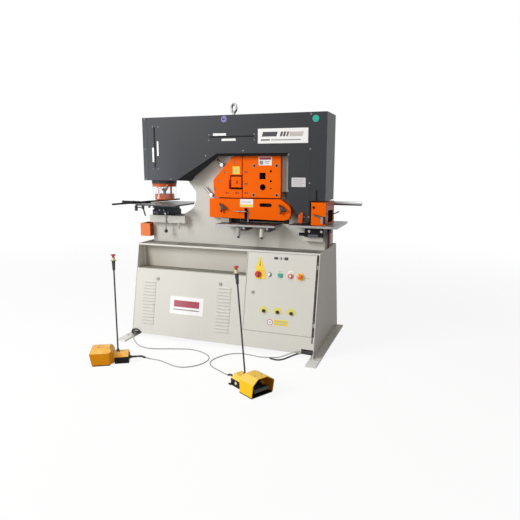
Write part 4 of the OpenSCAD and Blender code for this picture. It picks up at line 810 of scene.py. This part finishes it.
seal_rubber = coated("seal_rubber", (0.004, 0.004, 0.004), specular=0.08, drift=0.15, drift_scale=20.0,
                     roughness=0.6, bump_scale=600.0, bump_height=0.00008, edge_radius=0.0005)
# Black rubber seal along the sloping edge, widened at the lower left as a painted shadow of the cover on the
# frame; a second black strip lines the return's underside as painted shade.
bm = bmesh.new()
outline(bm, on_face(0, 0, -0.140),
        [(-0.331, 1.276), (-0.296, 1.318), (-0.108, 1.455), (-0.100, 1.471), (0.482, 1.471),
         (0.482, 1.4915), (-0.103, 1.4915), (-0.468, 1.2785)], 0.0037)
outline(bm, on_face(0, 0, -0.062),
        [(-0.462, 1.2778), (-0.102, 1.4877), (0.4815, 1.4877), (0.4815, 1.4917), (-0.1032, 1.4917),
         (-0.467, 1.2793)], 0.0775)
finished("cover_edge_seal", bm, seal_rubber, "machine")

# ---- Lifting eye ----
# Drop-forged eye bolt with a collar, left bright, screwed into the top of the frame.
# Its skin keeps the coarse grain of the forging.
forged_steel = coated("forged_steel", (0.33, 0.33, 0.335), metallic=1.0, drift=0.2, drift_scale=30.0,
                      roughness=0.48, rough_drift=0.2, bump_scale=260.0, bump_height=0.0002,
                      edge_radius=0.002)
paint(["lifting_eye"], forged_steel)

# ---- Punch ----
# Cylinder in the head, black guide ring, orange flange with a clear guard tube bolted under it,
# and a stripper on two rods. The guard is turned from polycarbonate tube.
stripper_orange = coated("stripper_enamel", (0.58, 0.09, 0.008), (0.8, 0.25, 0.12), edge_share=0.35,
                         specular=0.25, drift=0.12, drift_scale=14.0, roughness=0.42, rough_drift=0.15,
                         bump_scale=380.0, bump_height=0.00008, edge_radius=0.0016)
paint(["guard_flange", "stripper"], stripper_orange)
clear = coated("clear_guard", (0.93, 0.96, 0.98), drift=0.02, roughness=0.05, rough_drift=0.03,
               bump_scale=25.0, bump_height=0.0002, edge_radius=0.0005)
shader = clear.node_tree.nodes["Principled BSDF"]
shader.inputs["Transmission Weight"].default_value = 1.0
shader.inputs["IOR"].default_value = 1.45
paint(["punch_guard"], clear)
zinc = screw_metal("zinc_plate", (0.58, 0.58, 0.56), metallic=1.0, roughness=0.36, rough_drift=0.2)
guard_middle = middle("punch_guard")
guard_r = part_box("punch_guard")[1].x - guard_middle.x
screw_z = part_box("guard_flange")[0].z + 0.013
bm = bmesh.new()
for k in range(6):
    turn = Matrix.Rotation(math.radians(60 * k + 12), 4, "Z")
    head = (Matrix.Translation((guard_middle.x, 0, screw_z)) @ turn @ Matrix.Translation((guard_r, 0, 0))
            @ Matrix.Rotation(math.radians(90), 4, "Y"))
    disc(bm, head, [(0, -0.002), (0.0055, -0.002), (0.0055, 0.003), (0.0045, 0.0042), (0.003, 0.0042),
                    (0.0028, 0.002), (0, 0.002)], 16)
finished("flange_screws", bm, zinc, "machine")


# ---- Punch table, die holder and fence ----
# Planed steel table on the bolster, worn bright on top; the die holder below is enamelled dark
# blue-grey and held by cap screws, and a flat black fence with a scale strip is clamped to the
# table's arm. Under the table hang the orange bin for the slugs and, further right, a hook.
def socket_screw(bm, place, radius, height, slot=0):
    """A socket-head cap screw with its recess."""
    disc(bm, place, [(0, -0.001), (radius, -0.001), (radius, height * 0.85), (radius * 0.93, height),
                     (radius * 0.55, height), (radius * 0.55, height * 0.45), (0, height * 0.45)], 24, slot)


def painted_share(material, mask, metallic):
    """Lets the material be metal only where the mask of its painted or dirty parts is zero."""
    tree = material.node_tree
    share = product(tree, outside(tree, mask), metallic)
    tree.links.new(share, tree.nodes["Principled BSDF"].inputs["Metallic"])


table_steel = coated("planed_table_steel", (0.29, 0.285, 0.285), (0.6, 0.6, 0.6), edge_share=0.6,
                     metallic=0.85, drift=0.18, drift_scale=14.0, roughness=0.4, rough_drift=0.25,
                     bump_scale=220.0, bump_height=0.00004, edge_radius=0.0012, stretch=(1, 12, 1))

# The punch table is bare on top and black on its sides.
punch_table_steel, tree = variant(table_steel, "punch_table_steel")
blackened = band(tree, facing(tree)[2], 0.6, 0.2)
masked(punch_table_steel, blackened, (0.016, 0.016, 0.017))
painted_share(punch_table_steel, blackened, 0.85)
paint(["punch_table"], punch_table_steel)
holder_blue = coated("blue_grey_enamel", (0.008, 0.011, 0.018), (0.10, 0.11, 0.13), edge_share=0.4,
                     specular=0.14, drift=0.12, drift_scale=12.0, roughness=0.42, bump_scale=400.0,
                     bump_height=0.00006, edge_radius=0.0016)
paint(["die_holder"], holder_blue)
paint(["fence_bar"], dull_black)
paint(["fence_lever"], black_plastic)

# Painted shade darkens the bin's right side.
bin_enamel = coated("bin_enamel", (0.82, 0.225, 0.075), (0.9, 0.4, 0.2), edge_share=0.3, specular=0.1,
                    drift=0.08, drift_scale=6.0, roughness=0.42, bump_scale=420.0, bump_height=0.00007,
                    edge_radius=0.0016)
tree = bin_enamel.node_tree
masked(bin_enamel, product(tree, band(tree, facing(tree)[0], 0.3, 0.8), 0.8), (0.30, 0.03, 0.008))
paint(["slug_bin"], bin_enamel)

# The die clamp's lever is a worn steel rod with a black ball.
ball_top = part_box("die_clamp_lever")[0].z + 0.032
rod_with_ball, tree = variant(bright_steel, "rod_with_ball")
is_ball = sums(tree, "LESS_THAN", put(tree, "SeparateXYZ", {0: at_rest(tree)}).outputs[2], ball_top)
masked(rod_with_ball, 1.0, (0.25, 0.24, 0.23))
masked(rod_with_ball, is_ball, (0.015, 0.015, 0.016))
painted_share(rod_with_ball, is_ball, 1.0)
paint(["die_clamp_lever"], rod_with_ball)
oiled_screw = screw_metal("oiled_screw_steel", (0.16, 0.17, 0.19), metallic=0.6, specular=0.3, roughness=0.4)
holder_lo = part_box("die_holder")[0]
bm = bmesh.new()
for x in (-0.715, -0.690, -0.615, -0.585):
    socket_screw(bm, on_face(x, holder_lo.z + 0.022, holder_lo.y + 0.006), 0.0075, 0.008)
for x in (-0.665, -0.626):
    socket_screw(bm, on_face(x, holder_lo.z + 0.044, holder_lo.y), 0.007, 0.004)
finished("holder_screws", bm, oiled_screw, "machine")
hook_x, hook_z = -0.463, 0.9245
hook = through([(hook_x, -0.112, hook_z), (hook_x, -0.130, 0.9235), (-0.462, -0.142, 0.916),
                (-0.461, -0.146, 0.904), (-0.460, -0.142, 0.893), (-0.4595, -0.134, 0.888)], 4)
bm = bmesh.new()
tube(bm, hook, [0.0065] * len(hook), 16)
disc(bm, on_face(hook_x, hook_z, -0.110),
     [(0, 0), (0.012, 0), (0.012, 0.003), (0.009, 0.005), (0, 0.005)], 24)
finished("slug_hook", bm, frame_enamel, "machine")
table_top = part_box("punch_table")[1].z
strip_top = table_top + 0.015
slider_left = -0.852
bm = bmesh.new()
slab(bm, (-1.027, -0.114, table_top + 0.0003), (slider_left - 0.0003, -0.101, strip_top))
for x in (-1.015, -0.915):
    socket_screw(bm, Matrix.Translation((x, -0.1075, strip_top)), 0.0045, 0.003)
finished("fence_scale_strip", bm, dull_black, "fence")

# ---- Shear group ----
# Thick flame-cut plates in orange enamel on the frame's front, with bolts whose paint has been
# scraped off by the spanner, hand levers of dulled steel and black wing knobs. Split rubber
# strips hang behind the frame's openings.
orange = coated("orange_enamel", (0.90, 0.130, 0.001), (0.95, 0.3, 0.12), edge_share=0.25,
                specular=0.06, drift=0.05, drift_scale=4.0, roughness=0.36, rough_drift=0.12,
                bump_scale=420.0, bump_height=0.00007, edge_radius=0.0016)
paint(["angle_plate", "strip_plate", "angle_holddown"], orange)

# The bolts of the table below the plates are bare, the upper ones brown where the paint is off.
bolt_steel = coated("scraped_bolt_heads", (0.27, 0.185, 0.145), (0.42, 0.36, 0.32), edge_share=0.5,
                    metallic=0.3, drift=0.3, drift_scale=120.0, roughness=0.45, rough_drift=0.2,
                    bump_scale=500.0, bump_height=0.0001, edge_radius=0.0008)
masked(bolt_steel, within(bolt_steel.node_tree, (-1, -1, 0), (1, 1, 0.95)), (0.52, 0.51, 0.49))
paint(["machine_bolts"], bolt_steel)

# Ground steel has a painted dark reflection on its undersides, and is duller yet where it is a lever or a bar
# holder.
ground_steel, tree = variant(bright_steel, "ground_steel")
masked(ground_steel, band(tree, facing(tree)[2], 0.2, -0.7), (0.10, 0.10, 0.105))
holder_steel, tree = variant(ground_steel, "dull_lever_steel")
masked(holder_steel, 0.75, (0.14, 0.12, 0.105))
paint(["flat_holddown"], holder_steel)
lever_steel, tree = variant(ground_steel, "clamp_lever_steel")
masked(lever_steel, 0.45, (0.30, 0.285, 0.27))
paint(["clamp_lever_upper", "clamp_lever_lower"], lever_steel)

# The shear table's flat top is darkened, the parts below it are black but for two pale blocks,
# and its left end block is grey.
bench_steel, tree = variant(table_steel, "shear_table_steel")
below_top = within(tree, (-1, -0.5, 0.5), (1, 0.5, 0.9355))
end_block = within(tree, (-0.1, -0.2, 0.9502), (-0.015, 0, 1.0))
masked(bench_steel, band(tree, facing(tree)[2], 0.5, 0.9), (0.07, 0.066, 0.07))
masked(bench_steel, below_top, (0.02, 0.02, 0.022))
for x, tone in ((0.100, (0.42, 0.41, 0.38)), (0.294, (0.66, 0.62, 0.53))):
    masked(bench_steel, within(tree, (x - 0.017, -0.23, 0.8585), (x + 0.017, -0.1885, 0.925)), tone)
masked(bench_steel, end_block, (0.33, 0.31, 0.28))
painted_share(bench_steel, sums(tree, "MAXIMUM", end_block, below_top), 0.85)
paint(["shear_table"], bench_steel)
angle_face, bar_face, lower_face = (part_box(name)[0].y for name in ("angle_plate", "bar_plate", "lower_plate"))
rubbed_orange = coated("rubbed_orange", (0.42, 0.17, 0.07), drift=0.3, drift_scale=120.0, roughness=0.5,
                       edge_radius=0.0004)
bm = bmesh.new()
for x, z in ((0.194, 1.398), (0.377, 1.398), (0.188, 1.172), (0.379, 1.173)):
    disc(bm, on_face(x, z, bar_face), [(0.0085, 0.0002), (0.0160, 0.0002), (0.0155, 0.0006), (0.0085, 0.0006),
                                       (0.0085, 0.0002)], 28)
finished("scraped_rings", bm, rubbed_orange, "machine")

# Painted shade darkens the walls of the plates' openings.
holed_orange, tree = variant(orange, "holed_plate_enamel")
masked(holed_orange, within(tree, (0.15, bar_face + 0.0015, 1.185), (0.395, 0, 1.375)), (0.05, 0.010, 0.006))
paint(["bar_plate"], holed_orange)
# Painted shade also darkens two recesses in the lower plate.
low_orange, tree = variant(orange, "lower_plate_enamel")
masked(low_orange, within(tree, (0.114, lower_face + 0.0012, 0.95), (0.151, 0, 1.069)), (0.02, 0.012, 0.01))
masked(low_orange, within(tree, (0.238, lower_face + 0.0012, 1.080), (0.344, 0, 1.112)), (0.10, 0.022, 0.012))
paint(["lower_plate"], low_orange)
for side, x in (("left", -0.067), ("right", 0.433)):
    seat = on_face(x, 1.070, lower_face - 0.001)
    bm = bmesh.new()
    disc(bm, seat, [(0, 0), (0.014, 0), (0.015, 0.006), (0.0185, 0.010), (0.019, 0.020), (0.016, 0.0265),
                    (0, 0.028)], 28)
    for angle, reach in ((128, 0.042), (-18, 0.036), (-112, 0.040)):
        arm = seat @ Matrix.Translation((0, 0, 0.018)) @ Matrix.Rotation(math.radians(angle), 4, "Z")
        tube(bm, [arm @ Vector((d, 0, 0)) for d in (0.006, 0.018, reach - 0.004, reach)],
             [0.009, 0.0085, 0.0088, 0.0055], 12)
    knob = finished(f"{side}_wing_knob", bm, black_plastic, f"clamp_knob_{side}")
    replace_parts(knob, f"clamp_knob_{side}")
sticker("angle_label", on_face(0.0395, 1.363, angle_face), (0.060, 0.060, yellow_foil),
        [("outline", dull_olive, (-0.018, -0.016), (0.018, -0.016), (0.001, 0.016), (-0.001, 0.016))],
        corner=0.003)
sticker("bar_label", on_face(0.284, 1.4335, bar_face), (0.108, 0.065, white_foil),
        [("bar", crimson_ink, -0.048, 0.010, 0.048, 0.028, 0.002),
         ("bar", grey_ink, -0.046, -0.026, -0.016, 0.002, 0.002),
         ("bar", grey_ink, -0.006, -0.006, 0.040, -0.001, 0.001),
         ("bar", grey_ink, -0.006, -0.018, 0.030, -0.013, 0.001)], corner=0.003)
sticker("lower_label", on_face(0.133, 1.108, lower_face), (0.110, 0.062, white_foil),
        [("bar", yellow_foil, -0.053, -0.029, 0.053, -0.010, 0.002),
         ("bar", grey_ink, -0.044, 0.006, 0.040, 0.010, 0.001)], corner=0.003)
rail_back = 0.0685
bm = bmesh.new()
for k in range(19):
    left = -0.085 + 0.0268 * k
    slab(bm, (left, 0.0606, 0.936), (left + 0.0262, 0.0632, 1.385), edge=0.0006, segments=1)
slab(bm, (-0.089, 0.0633, 1.366), (0.428, rail_back, 1.390), slot=1)
for k in range(5):
    seat = on_face(-0.06 + 0.1155 * k, 1.378, rail_back) @ Matrix.Rotation(math.pi, 4, "Y")
    socket_screw(bm, seat, 0.005, 0.003, 1)
finished("rear_strip_curtain", bm, [seal_rubber, dull_black], "machine")

# ---- Notcher ----
# Table with a slotted right side, black tool block with a blued strip, an orange swinging guard
# with a tinted window and a handle, and a ground stop bar. A maroon hose brings oil down behind
# the block, and a black tray lies under the slots.

# The table's top is darkened, less so at its slotted right side.
notch_steel, tree = variant(table_steel, "notch_table_steel")
to_right = band(tree, put(tree, "SeparateXYZ", {0: at_rest(tree)}).outputs[0], 0.77, 0.80)
dulled = product(tree, band(tree, facing(tree)[2], 0.5, 0.9), outside(tree, product(tree, to_right, 0.6)))
masked(notch_steel, dulled, (0.09, 0.088, 0.09))
paint(["notch_table"], notch_steel)
paint(["notch_block"], dull_black)

# Painted shade darkens the guard's right side and makes it nearly black inside.
guard_enamel, tree = variant(orange, "guard_enamel")
masked(guard_enamel, product(tree, band(tree, facing(tree)[0], 0.5, 0.9), 0.7), (0.42, 0.10, 0.035))
masked(guard_enamel, within(tree, (0.5, -0.1655, 0.9), (0.7775, 0.132, 1.127)), (0.06, 0.035, 0.035))
paint(["notch_guard"], guard_enamel)
guard_lo, guard_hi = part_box("notch_guard")
window_tint = coated("window_tint", (0.17, 0.085, 0.04), (0.3, 0.2, 0.12), drift=0.3, drift_scale=30.0,
                     roughness=0.4, edge_radius=0.0004)
window_grey = coated("window_grey", (0.33, 0.29, 0.26), drift=0.2, drift_scale=30.0, roughness=0.4,
                     edge_radius=0.0004)
front = on_face(0, 0, guard_lo.y - 0.0002)
bm = bmesh.new()
outline(bm, front, [(0.6785, 1.041), (0.763, 1.025), (0.763, 1.000), (0.700, 1.024)], 0.0012)
outline(bm, front, [(0.745, 0.976), (0.7635, 0.976), (0.7635, 1.024), (0.745, 1.024)], 0.0016, 1)
outline(bm, front, [(0.764, 0.968), (0.7795, 0.968), (0.7795, 1.028), (0.764, 1.028)], 0.0016, 2)
disc(bm, on_face(0.690, 1.093, guard_lo.y), [(0, 0.0002), (0.010, 0.0002), (0.010, 0.003), (0.007, 0.0045),
                                             (0, 0.0045)], 20, 2)
finished("notch_guard_window", bm, [window_tint, window_grey, dull_black], "notch_guard")
handle_y = -0.060
handle = through([(guard_hi.x + 0.0003, handle_y, 1.036), (0.800, handle_y, 1.040), (0.832, handle_y, 1.047),
                  (0.860, handle_y, 1.061)], 4)
bm = bmesh.new()
tube(bm, handle, [0.0042] * len(handle), 12)
finished("notch_guard_handle", bm, dull_black, "notch_guard")
notch_table_top = 0.962
bm = bmesh.new()
outline(bm, on_face(0, 0, -0.150),
        [(0.566, 0.972), (0.602, 0.972), (0.607, 1.050), (0.594, 1.053), (0.572, 1.030)], 0.012)
slab(bm, (0.560, -0.168, notch_table_top + 0.0003), (0.612, -0.142, 0.9718), slot=1)
finished("notch_stop", bm, [stripper_orange, dull_black], "machine")
block_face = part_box("notch_block")[0].y
blued = coated("blued_strip", (0.085, 0.092, 0.125), (0.2, 0.2, 0.25), edge_share=0.4, drift=0.1,
               roughness=0.4, edge_radius=0.0008)
bm = bmesh.new()
slab(bm, (0.626, block_face - 0.006, 0.8715), (0.752, block_face - 0.0002, 0.8895))
for x in (0.634, 0.737):
    disc(bm, on_face(x, 0.881, block_face - 0.0062), [(0, 0), (0.012, 0), (0.012, 0.006), (0.010, 0.008),
                                                      (0, 0.008)], 20, 1)
finished("notch_block_strip", bm, [blued, dull_black], "machine")
bm = bmesh.new()
slab(bm, (0.792, -0.196, 0.940), (0.874, 0.176, 0.9455))
for y in (-0.19, 0.17):
    slab(bm, (0.798, y - 0.004, 0.9453), (0.868, y + 0.004, 0.9459), edge=0.0002)
finished("slot_tray", bm, dull_black, "machine")
maroon = coated("maroon_hose", (0.16, 0.012, 0.020), (0.3, 0.1, 0.1), edge_share=0.2, drift=0.15,
                drift_scale=20.0, roughness=0.45, bump_scale=600.0, bump_height=0.0001, edge_radius=0.0003)
hose_x, hose_y, hose_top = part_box("frame")[1].x + 0.0085, 0.045, 0.9445
hose = through([(hose_x, hose_y, hose_top), (hose_x, hose_y, 0.90), (hose_x, 0.046, 0.84),
                (hose_x - 0.001, hose_y, 0.79), (hose_x - 0.002, 0.044, 0.762)], 5)
bm = bmesh.new()
tube(bm, hose, [0.0068] * len(hose), 16)
tube(bm, [(hose_x, hose_y, z) for z in (hose_top, 0.895, 0.893)], [0.0088, 0.0088, 0.0078], 16, 1)
finished("notcher_hose", bm, [maroon, dull_black], "machine")
bm = bmesh.new()
slab(bm, (0.698, cover_face - 0.0012, 1.132), (0.708, cover_face - 0.0002, 1.222), edge=0.0004)
tube(bm, [(0.7035, cover_face - 0.0042, z) for z in (1.136, 1.208, 1.216)], [0.0042, 0.0042, 0.003], 12)
finished("notcher_scale_slot", bm, dull_black, "machine")
paint(["stop_bar"], ground_steel)


# ---- Foot controls ----
# Cast housings with a folded hood in yellow-orange enamel over a black switch box and base, each
# with a black treadle. The enamel carries a painted pale sheen on its upper faces.
def pedal_place(side, x, y, z):
    """A place on a foot control, by its own length, width and height."""
    turn = Matrix.Rotation(math.radians(pedal_headings[side]), 4, "Z")
    return Matrix.Translation((*pedal_spots[side], 0)) @ turn @ Matrix.Translation((x, y, z))


def looking(tree, x, y):
    """How far the surface looks in a level direction: one straight that way, minus one away."""
    normal = put(tree, "NewGeometry").outputs["Normal"]
    node = put(tree, "VectorMath", {0: normal}, {1: (x, y, 0)}, operation="DOT_PRODUCT")
    return node.outputs["Value"]


pedal_spots = {"left": (-0.488, -0.877), "right": (0.404, -0.957)}
pedal_yellow = coated("pedal_enamel", (0.78, 0.29, 0.0005), (0.97, 0.70, 0.3), edge_share=0.45,
                      specular=0.15, drift=0.1, drift_scale=14.0, roughness=0.36, rough_drift=0.12,
                      bump_scale=420.0, bump_height=0.00008, edge_radius=0.0026)
tree = pedal_yellow.node_tree

# The right-hand control is the yellower one; both carry a painted pale sheen on their upper faces.
masked(pedal_yellow, within(tree, (0, -2, -1), (1, 0, 1)), (0.95, 0.56, 0.002))
sheen_noise = put(tree, "TexNoise", {"Vector": at_rest(tree)}, {"Scale": 22.0, "Detail": 4.0}).outputs[0]
top_sheen = product(tree, band(tree, facing(tree)[2], 0.2, 0.65), band(tree, sheen_noise, 0.1, 0.75))
masked(pedal_yellow, top_sheen, (0.97, 0.66, 0.19))
for side, (x, y) in pedal_spots.items():
    turn = math.radians(pedal_headings[side])
    own = put(tree, "Mapping", {"Vector": at_rest(tree)}, {"Location": (x, y, 0), "Rotation": (0, 0, turn)},
              vector_type="TEXTURE").outputs[0]
    to_mouth = looking(tree, math.cos(turn), math.sin(turn))
    sideways = looking(tree, -math.sin(turn), math.cos(turn))
    off_middle = put(tree, "SeparateXYZ", {0: own}).outputs[1]

    # Painted shade browns the hood inside: on its under faces, those that look to its middle, and its back.
    inward = sums(tree, "LESS_THAN", product(tree, off_middle, sideways), -0.004)
    under = sums(tree, "LESS_THAN", facing(tree)[2], -0.3)
    inner_faces = product(tree, inside(tree, own, (0.11, -0.1, 0.009), (0.3, 0.1, 0.13)),
                     sums(tree, "MAXIMUM", inward, under))
    back_wall = product(tree, inside(tree, own, (0.11, -0.1, 0.009), (0.2, 0.1, 0.13)),
                        sums(tree, "GREATER_THAN", to_mouth, 0.3))
    hood_inside_shade = product(tree, sums(tree, "MAXIMUM", inner_faces, back_wall), 0.9)
    masked(pedal_yellow, hood_inside_shade, (0.42, 0.125, 0.007))

    # The switch box and the base plate are black, and painted shade blackens the wall that closes the hood's
    # back.
    switch_box = inside(tree, own, (-0.006, -0.06, -0.001), (0.0975, 0.06, 0.0463))
    base_plate = inside(tree, own, (0.1, -0.09, -0.001), (0.27, 0.09, 0.0083))
    hood_back_shade = product(tree, inside(tree, own, (0.13, -0.08, 0.009), (0.136, 0.08, 0.117)),
                      sums(tree, "GREATER_THAN", to_mouth, 0.9))
    blackened = sums(tree, "MAXIMUM", sums(tree, "MAXIMUM", switch_box, base_plate), hood_back_shade)
    masked(pedal_yellow, blackened, (0.008, 0.006, 0.005))
paint(["pedal_housings"], pedal_yellow)
paint(["treadle_left", "treadle_right"], black_plastic)
cream = coated("cream_moulding", (0.78, 0.70, 0.46), (0.85, 0.8, 0.62), edge_share=0.3, drift=0.06,
               drift_scale=30.0, roughness=0.4, bump_scale=2000.0, bump_height=0.00002, edge_radius=0.0008)
side_face = pedal_place("right", 0.052, -0.056, 0.028) @ Matrix.Rotation(math.radians(90), 4, "X")
bm = bmesh.new()
disc(bm, side_face, [(0, 0), (0.0105, 0), (0.0105, 0.0022), (0.009, 0.0034), (0.0045, 0.0034),
                     (0.004, 0.0016), (0, 0.0016)], 24)
slab(bm, (-0.015, -0.0700, 0.003), (0.010, -0.0562, 0.012), pedal_place("right", 0, 0, 0), 0.0015, 1)
finished("pedal_side_fittings", bm, [cream, black_plastic], "machine")
bm = bmesh.new()
for side in pedal_spots:
    for y in (-0.0245, 0.0245):
        disc(bm, pedal_place(side, 0.205, y, 0.1195),
             [(0, 0), (0.0062, 0), (0.0058, 0.0016), (0.0036, 0.0026), (0, 0.0028)], 18)
finished("hood_screws", bm, dull_zinc, "machine")


# ---- Carrying rods ----
# Black rod screwed into the foot control, with a ribbed rubber grip, a thin guard disc and a
# cream collar under a red mushroom button, so that the control stops by hand as well.
def rod_place(side):
    """A carrying rod's axis; heights along it count from the floor, as if the rod stood straight."""
    foot = pedal_place(side, 0.075, 0, rod_seat).to_translation()
    return (Matrix.Translation(foot) @ Matrix.Rotation(math.radians(-rod_leans[side]), 4, "Y")
            @ Matrix.Translation((0, 0, -rod_seat)))


rod_seat = 0.077
rod_leans = {"left": 0.0, "right": 4.7}
rod_r = 0.0054
grip_top = 0.7415
grip_rubber = coated("grip_rubber", (0.02, 0.02, 0.022), (0.07, 0.07, 0.075), edge_share=0.4, drift=0.15,
                     drift_scale=40.0, roughness=0.5, bump_scale=1200.0, bump_height=0.00005,
                     edge_radius=0.0006)
rod_black = coated("rod_enamel", (0.014, 0.014, 0.015), (0.1, 0.1, 0.1), edge_share=0.3, drift=0.15,
                   drift_scale=30.0, roughness=0.4, bump_scale=700.0, bump_height=0.00003, edge_radius=0.0006)
guard_grey = coated("guard_disc", (0.30, 0.29, 0.26), drift=0.1, roughness=0.4, edge_radius=0.0004)
grip = [(0, 0.6705), (0.0082, 0.672), (0.0095, 0.676), (0.0105, 0.690)]
for k in range(6):
    wider, higher = 0.0004 * k, 0.007 * k
    grip += [(0.0106 + wider, 0.694 + higher), (0.0098 + wider, 0.6955 + higher),
             (0.0098 + wider, 0.6985 + higher), (0.0108 + wider, 0.700 + higher)]
grip += [(0.0135, 0.7375), (0.0135, grip_top), (0, grip_top)]
for side in pedal_spots:
    place = rod_place(side)
    bm = bmesh.new()
    disc(bm, place, [(0, 0.0785), (0.0115, 0.0785), (0.0115, 0.085), (0.0085, 0.0915), (rod_r, 0.0915),
                     (rod_r, 0.671), (0, 0.671)], 24)
    disc(bm, place, grip, 28, 1)
    disc(bm, place, [(0, 0.7416), (0.021, 0.7416), (0.0215, 0.7428), (0.021, 0.7442), (0, 0.7442)], 36, 2)
    disc(bm, place, [(0, 0.7443), (0.0125, 0.7443), (0.0118, 0.752), (0.0110, 0.7630), (0.0100, 0.7630),
                     (0.0100, 0.7510), (0, 0.7510)], 28, 3)
    rod = finished(f"{side}_carrying_rod", bm, [rod_black, grip_rubber, guard_grey, cream], "machine",
                   sharp=50)
    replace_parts(rod, "pedal_rods")
    bm = bmesh.new()
    disc(bm, place, [(0, 0.7615), (0.0086, 0.7615), (0.0088, 0.7722), (0.0118, 0.7755), (0.0165, 0.7795),
                     (0.0175, 0.7815), (0.0168, 0.7845), (0.0125, 0.7868), (0, 0.7876)], 32)
    node = f"rod_estop_{side}"
    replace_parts(finished(f"{side}_mushroom_button", bm, red_plastic, node, sharp=50), node)


# ---- Studio ----
# A pale floor that fades out at its rim, an even sky, and four broad soft lamps. Floor and sky
# are white to the eye, also in a mirror or through glass, and light the machine less than that.
def seen(tree):
    """A mask that is one for what the eye sees, straight, in a mirror or through glass."""
    ray = put(tree, "LightPath").outputs
    indirect = sums(tree, "MAXIMUM", ray["Is Glossy Ray"], ray["Is Transmission Ray"])
    return sums(tree, "MAXIMUM", ray["Is Camera Ray"], indirect)


def soft_lamp(name, place, aim, size, power, tint=(1, 1, 1)):
    """A rectangular lamp that looks at the aim."""
    lamp = bpy.data.lights.new(name, "AREA")
    lamp.shape, lamp.color, lamp.energy = "RECTANGLE", tint, power
    lamp.size, lamp.size_y = size
    holder = bpy.data.objects.new(name, lamp)
    holder.location = place
    holder.rotation_mode = "QUATERNION"
    holder.rotation_quaternion = (Vector(aim) - Vector(place)).to_track_quat("-Z", "Y")
    scene.collection.objects.link(holder)


floor_mesh = bpy.data.meshes.new("floor")
bm = bmesh.new()
bmesh.ops.create_circle(bm, cap_ends=True, segments=96, radius=9.0)
bm.to_mesh(floor_mesh)
bm.free()
floor = bpy.data.objects.new("floor", floor_mesh)
scene.collection.objects.link(floor)
pale = bpy.data.materials.new("pale_floor")
pale.use_nodes = True
tree = pale.node_tree
tree.nodes.clear()
direct = seen(tree)
shade = sums(tree, "ADD", 0.5, product(tree, direct, 0.5))
matt = put(tree, "BsdfDiffuse", {"Color": put(tree, "CombineXYZ", {0: shade, 1: shade, 2: shade}).outputs[0]})
shine = put(tree, "Emission", values={"Color": (1, 1, 1, 1), "Strength": 1.0})
shaded_share = 0.11
glow = product(tree, direct, 1 - shaded_share)
blend = put(tree, "MixShader", {0: glow, 1: matt.outputs[0], 2: shine.outputs[0]})
from_middle = put(tree, "VectorMath", {0: put(tree, "NewGeometry").outputs["Position"]}, operation="LENGTH")
fade = band(tree, from_middle.outputs["Value"], 2.2, 6.0)
clear_rim = put(tree, "BsdfTransparent")
whole = put(tree, "MixShader", {0: fade, 1: blend.outputs[0], 2: clear_rim.outputs[0]})
put(tree, "OutputMaterial", {"Surface": whole.outputs[0]})
floor_mesh.materials.append(pale)
sky = bpy.data.worlds.new("sky")
sky.use_nodes = True
scene.world = sky
tree = sky.node_tree
tree.nodes.clear()
strength = sums(tree, "ADD", 0.16, product(tree, seen(tree), 0.84))
air = put(tree, "Background", {"Strength": strength}, {"Color": (1, 1, 1, 1)})
put(tree, "OutputWorld", {"Surface": air.outputs[0]})
soft_lamp("key", (-3.7, -4.3, 3.6), (0, 0, 0.9), (2.4, 2.4), 275)
soft_lamp("left_panel", (-3.9, -5.2, 0.9), (0, 0, 1.0), (1.8, 1.6), 60)
soft_lamp("fill", (2.6, -5.0, 2.2), (0, 0, 0.9), (2.2, 2.2), 55, (1.0, 0.90, 0.80))
soft_lamp("top", (0.0, -0.8, 4.6), (0, 0, 0.8), (3.0, 2.0), 40)

scene.view_settings.view_transform = "Standard"
